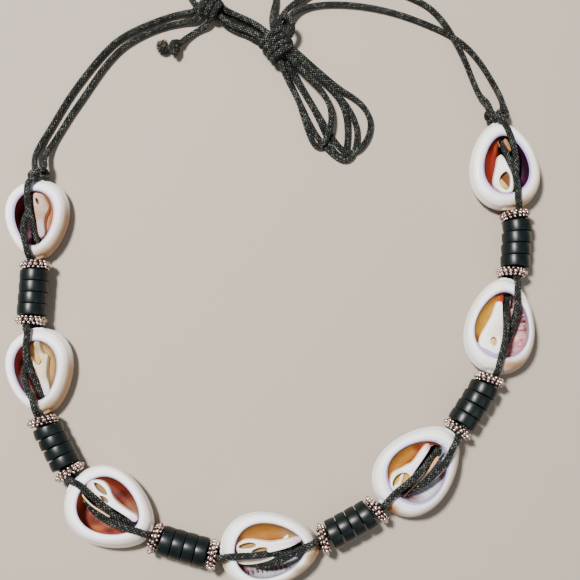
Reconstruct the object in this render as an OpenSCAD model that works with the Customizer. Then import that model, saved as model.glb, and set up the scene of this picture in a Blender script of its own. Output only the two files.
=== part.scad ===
// Shell necklace lying open on a surface. Seven cut cowrie shells and six groups
// of four black discs, each group between two granulated ring spacers, are strung
// on two strands of waxed cotton cord. The strands go on from a knot at each end
// as two pairs of neck cords, which meet in two sliding wrap knots with a hank of
// spare loops and one knotted tail.
// +Z up from the surface, +Y towards the neck knots, +X across. The origin is on
// the surface under the middle of the strung part.

/* [Cord] */
// Diameter of the waxed cotton cord where it is strung or wrapped
cord_d = 2; // [1.8:0.05:2.05]
// Diameter of the free neck cords, which are a little thinner
neck_d = 1.8; // [1.6:0.05:1.9]
// Air between pieces that touch on the real necklace
air = 0.12; // [0.05:0.01:0.2]

/* [Discs] */
// Outer diameter of a black disc
disc_d = 8; // [7.4:0.1:8.4]
// Bore of a disc, wide enough for both strands one above the other
disc_bore = 5.6; // [5.5:0.05:5.7]
// Width of the turned chamfer on a disc's edges
disc_edge = 0.3; // [0.1:0.05:0.6]

/* [Spacers] */
// Outer diameter of a ring spacer over its middle row of granules
spacer_d = 9.1; // [8.8:0.1:9.2]
// Thickness of a ring spacer along the string
spacer_t = 2.6; // [2.4:0.1:2.7]
// Bore of a ring spacer
spacer_bore = 5.8; // [5.7:0.1:5.9]
// Height of the string above the surface inside spacers and discs
string_z = 4.6; // [4.6:0.05:4.8]

/* [Shells] */
// How much broader a shell is at its back end than at its front end
egg = 0.2; // [0.12:0.01:0.24]
// Width of the slit along a shell's base
slit_w = 2.4; // [2.3:0.1:2.8]
// Width of the notch at each end of the slit
notch_w = 3.8; // [3.6:0.1:4]
// Height of the notches' roof above the surface
notch_h = 4.75; // [4.7:0.05:4.8]
// Depth of the inner walls' cut edge below the rim
wall_drop = 0.3; // [0.1:0.1:1]

/* [Knots] */
// Turns of the wrap knot that holds the hank
hank_wraps = 4; // [3:1:4]
// Turns of the wrap knot at the far end of the bundle
far_wraps = 3; // [2:1:3]
// Outer diameter of the hank's wrap knot
wrap_d = 9; // [8:0.5:9]

/* [Hidden] */
// Places are read on the necklace seen from above, in units of which 3.5 make a
// millimetre on the surface at the middle of the view, counted right and down.
// lay() takes a place read at height z back to millimetres over the surface: the
// eye is 250 mm up and 35 mm below the middle of the view.
unit = 3.5;
eye = [0, -35, 250];
mid = [-4.6, -14.2];
eye_far = norm(eye);
lens = unit * eye_far;
function ray(x, y) = [x - 290, (290 - y) * eye[2] / eye_far - lens * eye[1] / eye_far,
                      -(290 - y) * eye[1] / eye_far - lens * eye[2] / eye_far];
function lay(x, y, z = 0) = let (r = ray(x, y), t = (z - eye[2]) / r[2])
    [r[0] * t + eye[0] - mid[0], r[1] * t + eye[1] - mid[1], z];
function dir(a) = [cos(a), sin(a), 0];
function flat(v) = [v[0], v[1], 0];
function bearing(v) = atan2(v[1], v[0]);
function total(v, i = 0) = i < len(v) ? v[i] + total(v, i + 1) : 0;

cord_r = cord_d / 2;
disc_r = disc_d / 2;
spacer_r = spacer_d / 2;
hi = cord_r + 0.03;          // the upper strand over the string's middle line
lo = -hi;

// One row per shell, in order along the string from the left neck cord:
// narrow end right, down, wide end right, down (read at height 3), width,
// height of the cut rim, how far the rim is shifted to the narrow end and to the
// left of it, and the opening's share of width and length
N_X = 0; N_Y = 1; W_X = 2; W_Y = 3; WIDE = 4; HIGH = 5; OFF_L = 6; OFF_W = 7; OPEN_W = 8; OPEN_L = 9;
SHELLS = [
    [ 38.5, 260,    39,   180,   17.7, 7,   0.3,  -0.4, 0.62, 0.67],
    [ 45.5, 414.5,  38.5, 328.5, 18,   7.2, -0.1, -0.7, 0.65, 0.68],
    [151.5, 534,    71,   485.5, 20.7, 8,   -0.3,  1.1, 0.70, 0.68],
    [318.5, 546,    220,  552.5, 20,   7.8,  0.3,  0.4, 0.71, 0.70],
    [452.3, 432,  383.5,  505.6, 20.4, 7.8, -0.3,  0.1, 0.73, 0.64],
    [506,   279,    493,  374.5, 19.5, 7.6,  0,    0.2, 0.76, 0.67],
    [497.5, 123,    508.5, 211,  19.9, 7.4, -0.4,  0.1, 0.64, 0.64]];
shell_n = len(SHELLS);

// Inner walls of each shell, one path each: right, down (read at the rim's
// height), half thickness and, where a strand runs beneath, the height of the
// lower edge. The paths end in a curl or a chamber.
WALLS = [
    [[[43.4, 237.6, 0.6], [42.5, 228, 0.8], [41.5, 219, 1], [39.5, 210, 1.5], [35.5, 204, 0.8, 4.9],
      [35.5, 197.5, 0.7, 4.9], [40, 195.5, 0.8, 4.9], [44.2, 199.4, 0.9], [46, 206, 0.9], [42, 211, 1.3]]],
    [[[47, 393.2, 0.9], [45.2, 383.5, 1.2], [42, 373, 1.5], [42, 364, 1.5], [42, 358, 0.7],
      [39, 350, 0.6, 4.9], [37, 344, 0.8, 4.9]],
     [[41, 368, 1.3], [35.4, 364.6, 0.65, 4.9], [31.5, 358, 0.5, 4.9], [31, 350, 0.4, 4.9]]],
    [[[136, 519.4, 0.8], [126, 513, 0.8], [116, 505.5, 0.9], [110, 499, 1], [107.5, 490, 0.6],
      [103, 484, 0.5], [96, 481.5, 0.5], [89, 482.5, 0.6], [88.3, 487.4, 0.7, 4.9]],
     [[110, 499, 0.9], [104, 495, 0.5], [97, 492.5, 0.7, 4.9], [91, 488, 0.9, 4.9]]],
    [[[301, 541, 0.7], [292, 542, 0.9], [281, 545.5, 0.8], [271, 545, 0.85], [261, 543.7, 0.65],
      [250, 542, 0.5], [241, 544.5, 0.6]],
     [[269, 547, 0.6], [259, 547, 0.4], [248, 550.5, 0.6, 4.9], [241, 551.5, 0.7, 4.9]]],
    [[[427.5, 447, 0.9], [421, 456.5, 1], [413.5, 465.5, 1.1], [407, 469, 1], [398, 472, 0.8],
      [391.5, 478, 0.7], [390.5, 486, 0.6, 4.9], [394, 491, 0.6, 4.9]],
     [[413, 466, 1], [409.5, 475, 0.6], [405, 483, 0.4, 4.9]]],
    [[[500.5, 304, 0.7], [499, 313, 1.1], [497, 322, 1.4], [493, 331, 1.5], [486, 337, 1.2],
      [484, 344, 1.1], [489, 349.5, 1, 4.9], [496, 351, 1, 4.9], [500, 345, 0.8, 4.9], [499.5, 335, 0.9],
      [498, 325, 1.2]]],
    [[[500, 157, 0.6], [500, 164, 1], [501.5, 169.5, 1.1], [498, 175, 0.8],
      [497, 183, 0.8], [502, 190.5, 0.8, 4.9], [509, 191, 0.7, 4.9], [511.5, 184, 0.5, 4.9],
      [511, 175, 0.5, 4.9], [506.5, 168, 0.7, 4.9]]]];

// The strand that lies over the rim where the string comes in, and the one that
// lies over it where the string goes out: right, down and height, a row each
OVER_IN = [
    [[28, 183.5, 8.3], [27, 194, 8.3],  [28.5, 209, 8.1], [32.5, 224, 6.2], [36, 236, 4]],
    [[27, 332, 8.5],  [26, 343, 8.5],  [26.4, 359, 8.6], [32, 374, 6.3], [40, 389, 4.1]],
    [[77.5, 484, 9.3], [85, 490.5, 9.3], [101, 504, 8.6], [117.5, 517, 6.1], [130, 522.5, 4.1]],
    [[227, 557, 9],   [237, 556.5, 9.1], [255, 555.5, 8.6], [277, 552, 5.5], [293, 548, 4.1]],
    [[388, 501, 9],   [395.5, 493.5, 9.1], [408.3, 483, 9], [422.9, 469.2, 7], [433.5, 455.5, 4.1]],
    [[499, 366, 8.8], [501.5, 356, 8.9], [505.5, 338, 8.5], [506.5, 319, 6.7], [505.5, 305, 4.1]],
    [[518, 200, 8.6], [518, 190, 8.7], [515.5, 175, 8.4], [509.5, 160, 6.4], [503, 147, 4.2]]];
OVER_OUT = [
    [[34.5, 201, 3.5], [28, 212, 4.4],  [24.5, 221, 6.6], [23.5, 235, 8.2], [26, 246, 8.3]],
    [[34, 350, 3.6],  [27.5, 361, 4.2], [25, 371, 4.9], [27, 388, 7.6],  [32.5, 400, 8.5]],
    [[86, 499.5, 3.8], [92, 508.5, 4.8],  [105.5, 519.5, 6.6],  [125, 528, 9],  [138, 531.5, 9.3]],
    [[242, 555.5, 3.6], [254, 563.5, 4.6], [270, 564.5, 6.1], [295, 553, 8.9], [306, 547, 9.15]],
    [[402.5, 491.5, 3.6], [413, 489.5, 4.6], [430, 478.5, 6.4], [446, 461.5, 8.9], [452, 450, 9.2]],
    [[498.5, 352, 3.4], [507, 341, 3.7], [513.5, 322, 5.2], [517.5, 303, 8.6], [517.5, 290, 8.9]],
    [[508.5, 187, 3.4], [515.5, 176, 4],  [516.5, 162, 5.6], [513.5, 145, 7.9], [509, 131.5, 8.7]]];

// One row per group of discs: first spacer right, down, its bearing, second
// spacer right, down, its bearing (all read at the string's height), how far the
// discs have slid to the right of the string's run, how far the strands lie to the
// right of the spacers' middle, and how far the upper strand does at each spacer
G_AX = 0; G_AY = 1; G_A = 2; G_BX = 3; G_BY = 4; G_B = 5; G_SLIP = 6; G_SIDE = 7; G_UP_A = 8; G_UP_B = 9;
GROUPS = [
    [ 35.5, 265.5, -89, 31,    320.5, -91, 0,   0,    1,     1],
    [ 43.5, 421,   -76, 69.7,  472,   -57, 0,   0,    0.9,   0.9],
    [155.6, 538.3, -22, 212.6, 555,    -9, 0,   0,   -0.6,   0.45],
    [323.5, 539,    17, 376.7, 509.6,  40, 0,   0,   -0.3,   0.3],
    [457.2, 429.5,  52, 489.4, 379.6,  71, 0,   0,    1,     0.9],
    [511.5, 272.5,  86, 515,   215.5,  99, 0.8, 0.5,  1.1,   0.9]];
disc_n = 4;

// Wrap knots: right, down, height of the middle, bearing, turns, outer diameter
K_X = 0; K_Y = 1; K_Z = 2; K_A = 3; K_TURNS = 4; K_D = 5;
END_LEFT = [38.5, 169, 4.6, -88, 2, 5.4];
END_RIGHT = [496.8, 113.2, 4.6, 99, 2, 6.4];
HANK_KNOT = [276.5, 45, 4.6, -52, hank_wraps, wrap_d];
FAR_KNOT = [211, 6, 3.9, -25, far_wraps, 7.6];
TAIL_KNOT = [174.3, 47.5, 2.4, -172, 2, 4.6];

// Free cords, one row per bend: right, down and height of the middle line
NECK_LEFT_1 = [[34.5, 160, 4], [36, 153, 2.4], [42, 142, 1.1], [51, 128, 1], [63, 107.5, 1],
    [72, 93.5, 1], [83, 78.5, 1], [94.5, 64, 1], [105.5, 51.5, 1], [116, 41.5, 1],
    [128.5, 33.5, 1], [141, 27.5, 1], [155.5, 21.5, 1], [170, 16.5, 1], [184, 13, 1.3], [195.5, 11.5, 2.2]];
NECK_LEFT_2 = [[44, 160, 4], [46.5, 153, 2.4], [54, 142, 1.1], [62, 129.5, 1], [71, 115, 1],
    [81, 101, 1], [91, 86, 1], [101, 71.5, 1], [111, 59, 1], [122.5, 47.5, 1],
    [136.5, 38.5, 1], [153, 30.5, 1], [169, 25.5, 1], [185, 22, 1.3], [197.5, 19.5, 2.2]];
NECK_RIGHT_1 = [[502, 101.5, 4.2], [498.5, 93, 2.6], [490.5, 79, 1.1], [481, 64, 1], [471.5, 52, 1],
    [460.5, 42, 1], [446, 33, 1], [428, 25, 1], [409, 17.5, 1], [386, 10.5, 1],
    [362, 6, 1], [338, 4, 1], [317, 5, 1], [300, 8.5, 1.6], [289, 16, 3], [284.5, 25, 4.4]];
NECK_RIGHT_2 = [[486.5, 101.5, 4], [480.5, 97, 2.7], [476, 88.5, 1.8], [470.5, 75, 1.6], [465.5, 62, 2.2],
    [460, 50, 3.2], [454, 38.5, 3.2], [446.5, 26, 2.9], [438, 15.5, 1.5], [427.5, 6, 1], [410, -3, 1],
    [386, -11, 1], [357, -15, 1], [328, -12, 1], [304, -3, 1.5], [288, 8, 2.8], [280, 19, 4.4]];
TOP_LOOP = [[271.5, 22, 4.4], [273, 11, 2.4], [277, -2, 1.05], [272, -15, 1.05], [256, -24, 1.05],
    [234, -26, 1.05], [212, -22, 1.05], [197, -14, 1.05], [190, -5, 1.3], [192, 2, 2.4]];
BUNDLE_1 = [[225, 9.5, 4.1], [236, 15, 3.8], [249, 20.5, 3.9], [261.5, 27.5, 4.4]];
BUNDLE_2 = [[222, 18, 4], [233, 26, 3.7], [247, 30, 3.8], [259, 36.5, 4.4]];
BUNDLE_3 = [[225, 12, 2.1], [236, 18.6, 1.9], [249, 24, 1.9], [259.5, 29, 2.4]];
BUNDLE_4 = [[221, 21, 2.1], [233, 29.5, 1.8], [247, 34, 1.8], [256, 39.5, 2.4]];
TAIL = [[207, 24.5, 2.2], [200, 29.5, 1.05], [192, 34.5, 1.05], [185, 39, 1.5], [180, 43.5, 2.2], [176, 46, 2.4]];

// Hank of spare loops: right, down, top height, corner radius
HANK = [[282, 64.5, 5.6, 1], [294, 55, 5.6, 1],
        [309, 137, 3.6, 1.3], [318, 145, 3.6, 1.2], [342, 158, 4.4, 1.4],
        [350, 157, 4.4, 1.4], [368, 122, 3.4, 1.2], [361, 107, 3.6, 1.2]];

// ---- cord sweep
function chaikin(p) = [p[0], for (i = [0:len(p) - 2])
    each [p[i] * 0.75 + p[i + 1] * 0.25, p[i] * 0.25 + p[i + 1] * 0.75], p[len(p) - 1]];
function along(p, i) = let (a = p[max(i - 1, 0)], b = p[min(i + 1, len(p) - 1)]) (b - a) / norm(b - a);
function ring(c, t, r, n) = let (s = cross([0, 0, 1], t) / norm(cross([0, 0, 1], t)), u = cross(t, s))
    [for (k = [0:n - 1]) c + r * (cos(360 * (k + 0.5) / n) * s + sin(360 * (k + 0.5) / n) * u)];

module tube(route, r = cord_r, n = 8, passes = 1) {
    path = passes > 0 ? chaikin(route) : route;
    m = len(path);
    points = [for (i = [0:m - 1]) each ring(path[i], along(path, i), r, n)];
    faces = concat(
        [[for (k = [0:n - 1]) k]],
        [for (i = [0:m - 2]) for (k = [0:n - 1]) each [
            [i * n + k, (i + 1) * n + k, i * n + (k + 1) % n],
            [i * n + (k + 1) % n, (i + 1) * n + k, (i + 1) * n + (k + 1) % n]]],
        [[for (k = [0:n - 1]) m * n - 1 - k]]);
    polyhedron(points, faces);
}

function laid(rows) = [for (p = rows) lay(p[0], p[1], p[2])];

// ---- shells
// A shell's own frame has +X to its narrow end, along its length, and +Z up.
function shell_narrow(s) = lay(s[N_X], s[N_Y], 3);
function shell_wide(s) = lay(s[W_X], s[W_Y], 3);
function shell_mid(s) = flat((shell_narrow(s) + shell_wide(s)) / 2);
function shell_long(s) = norm(shell_narrow(s) - shell_wide(s));
function shell_turn(s) = bearing(shell_narrow(s) - shell_wide(s));
// Stations round the shell: angle, or where the angle is 0 a distance beside the
// long axis, then 1 at the narrow end or -1 at the wide end, and 1 under the roof
// of a notch
half = concat([[0, 0, 1, 1], [0, notch_w / 2, 1, 1], [0, notch_w / 2 + 0.45, 1, 0]],
    [for (a = [27:15.75:153]) [a, 0, 0, 0]],
    [[0, notch_w / 2 + 0.45, -1, 0], [0, notch_w / 2, -1, 1], [0, 0, -1, 1]]);
stations = concat(half, [for (i = [len(half) - 2:-1:1])
    [-half[i][0], -half[i][1], half[i][2], half[i][3]]]);

// Rows of the wall's section, from the slit's lower edge out, over the rim and
// back in: share of half length, share of half width (0 for the slit), height as
// a share of the rim's, and height at the notches
function section(s) = let (l = s[OPEN_L], w = s[OPEN_W], h = s[HIGH]) [
    [0.74, 0, 0.05, notch_h],
    [0.80, 0.50, 0, notch_h],
    [0.93, 0.84, 0.09, notch_h],
    [1, 1, 0.40, notch_h + 0.05],
    [0.955, 0.975, 0.70, max(0.70 * h, notch_h + 0.3)],
    [0.885, 0.93, 0.90, 0.90 * h],
    [0.81, 0.86, 1, h],
    [l, w, 1, h],
    [l * 1.01, w * 1.04, 0.70, max(0.70 * h, notch_h + 0.3)],
    [l * 0.97, w * 0.93, 0.36, notch_h + 0.1],
    [l * 0.98, w * 0.55, 0.20, notch_h + 0.05],
    [0.72, 0, 0.17, notch_h]];
// above its broadest line the shell leans by the rim's shift
function lean(s, z) = max(0, z / s[HIGH] - 0.4) / 0.6;

function shell_point(s, r, q) = let (
    slit = r[1] == 0,
    end = q[2] != 0,
    a = shell_long(s) / 2 * (end && r[2] == 0.4 && q[3] > 0 ? 0.975 : r[0]),
    b = s[WIDE] / 2 / fullness * r[1],
    z = q[3] > 0 ? r[3] : r[2] * s[HIGH],
    v = end ? (slit ? sign(q[1]) * min(abs(q[1]), slit_w / 2) : q[1])
            : slit ? sign(q[0]) * slit_w / 2 : b * sin(q[0]) * (1 - egg * cos(q[0])),
    u = end ? q[2] * a * (slit ? 1 : sqrt(1 - pow(v / (b * (1 - egg * q[2])), 2)))
            : a * cos(q[0]))
    [u + s[OFF_L] * lean(s, z), v + s[OFF_W] * lean(s, z), z];
fullness = max([for (q = [60:2:120]) sin(q) * (1 - egg * cos(q))]);

module shell_wall(s) {
    rows = section(s);
    m = len(rows);
    n = len(stations);
    points = [for (q = stations) for (r = rows) shell_point(s, r, q)];
    faces = [for (i = [0:n - 1]) for (k = [0:m - 1])
        let (j = (i + 1) % n, l = (k + 1) % m) each [
            [i * m + k, i * m + l, j * m + k],
            [j * m + k, i * m + l, j * m + l]]];
    polyhedron(points, faces);
}

module shell(i) {
    s = SHELLS[i];
    color([0.93, 0.89, 0.84]) union() {
        translate(shell_mid(s)) rotate([0, 0, shell_turn(s)]) shell_wall(s);
        for (path = WALLS[i]) for (k = [0:len(path) - 2]) hull() {
            post(path[k], s[HIGH]);
            post(path[k + 1], s[HIGH]);
        }
    }
}

module post(p, high) {
    foot = len(p) > 3 ? p[3] : 0.13 * high;
    translate(flat(lay(p[0], p[1], high)) + [0, 0, foot])
        cylinder(h = high - wall_drop - foot, r = p[2], $fn = 10);
}

// ---- beads
function at_a(g) = lay(g[G_AX], g[G_AY], string_z);
function at_b(g) = lay(g[G_BX], g[G_BY], string_z);

module on_string(place, turn) { translate(place) rotate([0, 0, turn]) rotate([0, 90, 0]) children(); }

module disc_shape(t) {
    rotate_extrude($fn = 48) polygon([[disc_bore / 2, -t / 2], [disc_r - disc_edge, -t / 2],
        [disc_r, disc_edge - t / 2], [disc_r, t / 2 - disc_edge], [disc_r - disc_edge, t / 2],
        [disc_bore / 2, t / 2]]);
}

// Bearings through a group: spacer, four discs, spacer. The discs take up the
// middle half of the turn, and a wedge of air at each joint takes up its angle.
function turns(g) = let (w = g[G_B] - g[G_A]) [g[G_A],
    for (k = [0:disc_n - 1]) g[G_A] + w * (0.25 + 0.5 * (k + 0.5) / disc_n), g[G_B]];
function wedges(g) = let (b = turns(g)) [for (k = [0:disc_n]) air + disc_r * tan(abs(b[k + 1] - b[k]))];
function disc_t(g) = (norm(at_b(g) - at_a(g)) - spacer_t - total(wedges(g))) / disc_n;
function disc_at(g, k) = let (w = wedges(g), way = (at_b(g) - at_a(g)) / norm(at_b(g) - at_a(g)),
    right = cross(way, [0, 0, 1]))
    at_a(g) + right * g[G_SLIP] + way * (spacer_t / 2 + (k + 0.5) * disc_t(g) + total([for (i = [0:k]) w[i]]));

module disc(g, k) {
    color([0.06, 0.08, 0.08]) on_string(disc_at(GROUPS[g], k), turns(GROUPS[g])[k + 1])
        disc_shape(disc_t(GROUPS[g]));
}

// Three rows of granules as three round ridges, the middle one the largest
module spacer_shape() {
    side = spacer_t / 2 - 0.45;
    rotate_extrude($fn = 48) union() {
        translate([spacer_bore / 2, 0.5 - spacer_t / 2])
            square([spacer_r - 0.9 - spacer_bore / 2, spacer_t - 1]);
        translate([spacer_r - 0.8, 0]) circle(r = 0.8, $fn = 24);
        translate([spacer_r - 0.8, side]) circle(r = 0.45, $fn = 24);
        translate([spacer_r - 0.8, -side]) circle(r = 0.45, $fn = 24);
    }
}

module spacer(i) {
    g = GROUPS[floor(i / 2)];
    color([0.78, 0.70, 0.68]) on_string(i % 2 == 0 ? at_a(g) : at_b(g), i % 2 == 0 ? g[G_A] : g[G_B])
        spacer_shape();
}

// ---- strands through shells and beads
// The string comes into every shell at its wide end. A strand passes low through
// the notch at one end and high over the rim at the other.
function shell_end(i, out) = (out ? shell_narrow(SHELLS[i]) : shell_wide(SHELLS[i])) - shell_mid(SHELLS[i]);
function through(i, out, f) = let (e = shell_end(i, out), way = (out ? 1 : -1) * e / norm(e))
    flat(shell_mid(SHELLS[i]) + e * f + cross(way, [0, 0, 1]) * (out && i == 5 ? 0.2 : 0)) + [0, 0, string_z + lo - (f > 1 ? 0 : 0.2)];
function over_end(i, out) = out && i < shell_n - 1 ? upper_a(i) : !out && i > 0 ? upper_b(i - 1)
    : flat(shell_mid(SHELLS[i]) + shell_end(i, out));
function over(i, out, p) = let (e = over_end(i, out), d = flat(lay(p[0], p[1], p[2])) - e,
    knot = out ? i == shell_n - 1 : i == 0, far = knot ? 0.6 : 0.68, near = knot ? 0.25 : 0.37)
    [for (f = out ? [far, near] : [near, far]) e + d * f + [0, 0, SHELLS[i][HIGH] + (f > 0.5 ? 1.15 : out || knot ? 0.42 : 0.15)]];
// strand over the rim at the way in, then down and out through the end notch
function leg_in(i) = concat(over(i, false, OVER_IN[i][0]), laid(OVER_IN[i]), [through(i, true, 0.72), through(i, true, 1.02)]);
// strand in through the end notch, then up and out over the rim
function leg_out(i) = concat([through(i, false, 1.02), through(i, false, 0.72)], laid(OVER_OUT[i]),
    over(i, true, OVER_OUT[i][len(OVER_OUT[i]) - 1]));
// the two strands lie one above the other in the beads; the upper one goes in and
// comes out in line with its run over the shell
spread = 0.3;
function upper_a(g) = let (r = GROUPS[g]) flat(at_a(r) + cross(dir(r[G_A]), [0, 0, 1]) * r[G_UP_A] - dir(r[G_A]) * spacer_t / 2);
function upper_b(g) = let (r = GROUPS[g]) flat(at_b(r) + cross(dir(r[G_B]), [0, 0, 1]) * r[G_UP_B] + dir(r[G_B]) * spacer_t / 2);
function beads(g, side) = let (r = GROUPS[g], a = at_a(r), b = at_b(r), s = sign(side), z = [0, 0, side],
    ra = cross(dir(r[G_A]), [0, 0, 1]), rb = cross(dir(r[G_B]), [0, 0, 1]), e = [0, 0, s > 0 ? 0.33 : 0],
    u = dir(r[G_A]) * spacer_t / 2, v = dir(r[G_B]) * spacer_t / 2,
    pa = a + z + ra * (s > 0 ? r[G_UP_A] : r[G_SIDE] - spread), pb = b + z + rb * (s > 0 ? r[G_UP_B] : r[G_SIDE]))
    [pa - u + e, pa + u, pb - v, pb + v + e];
function from_knot(k, way, up) = [for (d = [0, 0.5]) lay(k[K_X], k[K_Y], k[K_Z])
    + dir(k[K_A]) * way * (k[K_TURNS] * cord_d * 0.475 + 0.1 + 2 * air + d) + [0, 0, up]];
function rev(v) = [for (i = [len(v) - 1:-1:0]) v[i]];

strand_a_route = concat(from_knot(END_LEFT, 1, 1.2), leg_in(0), beads(0, lo), leg_out(1),
    beads(1, hi), leg_in(2), beads(2, lo), leg_out(3), beads(3, hi), leg_in(4), beads(4, lo),
    leg_out(5), beads(5, hi), leg_in(6), rev(from_knot(END_RIGHT, -1, -1)));
strand_b_route = concat(from_knot(END_LEFT, 1, -1), leg_out(0), beads(0, hi), leg_in(1),
    beads(1, lo), leg_out(2), beads(2, hi), leg_in(3), beads(3, lo), leg_out(4), beads(4, hi),
    leg_in(5), beads(5, lo), leg_out(6), rev(from_knot(END_RIGHT, -1, 1.6)));

module strand(route) { color([0.05, 0.06, 0.06]) tube(route, passes = 0); }

// ---- knots, free cords and hank
module wrap_knot(k) {
    step = cord_d * 0.95;
    big = k[K_D] / 2;
    color([0.05, 0.06, 0.06]) on_string(lay(k[K_X], k[K_Y], k[K_Z]), k[K_A])
        rotate_extrude($fn = 40) union() {
            translate([0, -(k[K_TURNS] - 1) * step / 2 - 0.5]) square([big - 0.6, (k[K_TURNS] - 1) * step + 1]);
            for (t = [0:k[K_TURNS] - 1]) translate([big - cord_r, (t - (k[K_TURNS] - 1) / 2) * step])
                circle(r = cord_r, $fn = 24);
        }
}

module free_cord(rows) { color([0.05, 0.06, 0.06]) tube(laid(rows), neck_d / 2); }

module hank_solid() {
    color([0.05, 0.06, 0.06]) hull() for (p = HANK)
        translate(flat(lay(p[0], p[1], p[2] / 2))) translate([0, 0, 0.05])
            cylinder(h = p[2], r = p[3], $fn = 16);
}

module shell_1() { shell(0); }
module shell_2() { shell(1); }
module shell_3() { shell(2); }
module shell_4() { shell(3); }
module shell_5() { shell(4); }
module shell_6() { shell(5); }
module shell_7() { shell(6); }
module strand_a() { strand(strand_a_route); }
module strand_b() { strand(strand_b_route); }
module end_knot_left() { wrap_knot(END_LEFT); }
module end_knot_right() { wrap_knot(END_RIGHT); }
module slide_knot_hank() { wrap_knot(HANK_KNOT); }
module slide_knot_far() { wrap_knot(FAR_KNOT); }
module neck_cord_left_1() { free_cord(NECK_LEFT_1); }
module neck_cord_left_2() { free_cord(NECK_LEFT_2); }
module neck_cord_right_1() { free_cord(NECK_RIGHT_1); }
module neck_cord_right_2() { free_cord(NECK_RIGHT_2); }
module top_loop_cord() { free_cord(TOP_LOOP); }
module bundle_cord_1() { free_cord(BUNDLE_1); }
module bundle_cord_2() { free_cord(BUNDLE_2); }
module bundle_cord_3() { free_cord(BUNDLE_3); }
module bundle_cord_4() { free_cord(BUNDLE_4); }
module tail_cord() { union() { free_cord(TAIL); wrap_knot(TAIL_KNOT); } }
module hank() { hank_solid(); }

shell_1();
shell_2();
shell_3();
shell_4();
shell_5();
shell_6();
shell_7();
disc(0, 0);  // disc_1_1
disc(0, 1);  // disc_1_2
disc(0, 2);  // disc_1_3
disc(0, 3);  // disc_1_4
disc(1, 0);  // disc_2_1
disc(1, 1);  // disc_2_2
disc(1, 2);  // disc_2_3
disc(1, 3);  // disc_2_4
disc(2, 0);  // disc_3_1
disc(2, 1);  // disc_3_2
disc(2, 2);  // disc_3_3
disc(2, 3);  // disc_3_4
disc(3, 0);  // disc_4_1
disc(3, 1);  // disc_4_2
disc(3, 2);  // disc_4_3
disc(3, 3);  // disc_4_4
disc(4, 0);  // disc_5_1
disc(4, 1);  // disc_5_2
disc(4, 2);  // disc_5_3
disc(4, 3);  // disc_5_4
disc(5, 0);  // disc_6_1
disc(5, 1);  // disc_6_2
disc(5, 2);  // disc_6_3
disc(5, 3);  // disc_6_4
spacer(0);  // spacer_1
spacer(1);  // spacer_2
spacer(2);  // spacer_3
spacer(3);  // spacer_4
spacer(4);  // spacer_5
spacer(5);  // spacer_6
spacer(6);  // spacer_7
spacer(7);  // spacer_8
spacer(8);  // spacer_9
spacer(9);  // spacer_10
spacer(10);  // spacer_11
spacer(11);  // spacer_12
strand_a();
strand_b();
end_knot_left();
end_knot_right();
neck_cord_left_1();
neck_cord_left_2();
neck_cord_right_1();
neck_cord_right_2();
slide_knot_far();
bundle_cord_1();
bundle_cord_2();
bundle_cord_3();
bundle_cord_4();
slide_knot_hank();
top_loop_cord();
hank();
tail_cord();
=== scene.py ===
"""Shell necklace: the looks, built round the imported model.
Lengths in the tables are in millimetres or in units of the seen view, of which 3.5
make a millimetre on the surface. lay() takes both to millimetres in the row frame, and
make() turns millimetres into metres."""

import bpy
import math
import random
import numpy as np
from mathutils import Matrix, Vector
from mathutils.geometry import tessellate_polygon


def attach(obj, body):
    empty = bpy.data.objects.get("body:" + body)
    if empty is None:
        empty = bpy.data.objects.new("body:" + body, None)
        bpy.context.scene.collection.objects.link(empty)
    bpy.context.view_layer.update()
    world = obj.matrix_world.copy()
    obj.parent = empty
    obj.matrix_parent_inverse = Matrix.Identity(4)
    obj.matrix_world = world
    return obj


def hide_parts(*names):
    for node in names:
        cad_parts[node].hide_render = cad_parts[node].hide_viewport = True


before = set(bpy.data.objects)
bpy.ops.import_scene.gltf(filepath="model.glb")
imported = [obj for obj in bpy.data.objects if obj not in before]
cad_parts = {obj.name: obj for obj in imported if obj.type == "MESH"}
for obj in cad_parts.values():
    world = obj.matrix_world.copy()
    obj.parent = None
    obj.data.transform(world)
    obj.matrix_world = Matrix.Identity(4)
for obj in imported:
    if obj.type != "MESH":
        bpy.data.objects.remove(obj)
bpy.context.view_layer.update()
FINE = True
rng = random.Random(7)
nrng = np.random.default_rng(7)

# ------------------------------------------------------------------ places
UNIT = 3.5
EYE = np.array([0.0, -35.0, 250.0])
MID = np.array([-4.6, -14.2])
FAR = float(np.linalg.norm(EYE))
LENS = UNIT * FAR
CORD_R, NECK_R, STRING_Z, AIR = 1.0, 0.9, 4.6, 0.12


def lay(x, y, z=0.0):
    """The place at height z, in mm, that is seen at x right and y down."""
    ray = np.array([x - 290.0,
                    (290.0 - y) * EYE[2] / FAR - LENS * EYE[1] / FAR,
                    -(290.0 - y) * EYE[1] / FAR - LENS * EYE[2] / FAR])
    t = (z - EYE[2]) / ray[2]
    return np.array([ray[0] * t + EYE[0] - MID[0], ray[1] * t + EYE[1] - MID[1], z])


def seen(p):
    """Right and down of a place in mm: lay() the other way round."""
    q = np.array([p[0] + MID[0], p[1] + MID[1], p[2]]) - EYE
    deep = -q[1] * EYE[1] / FAR - q[2] * EYE[2] / FAR
    return 290 + LENS * q[0] / deep, 290 - LENS * (q[1] * EYE[2] / FAR - q[2] * EYE[1] / FAR) / deep


def laid(rows):
    return [lay(*r) for r in rows]


def way(bearing):
    a = math.radians(bearing)
    return np.array([math.cos(a), math.sin(a), 0.0])


def right_of(d):
    return np.array([d[1], -d[0], 0.0])


def flat(v):
    return np.array([v[0], v[1], 0.0])


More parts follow.
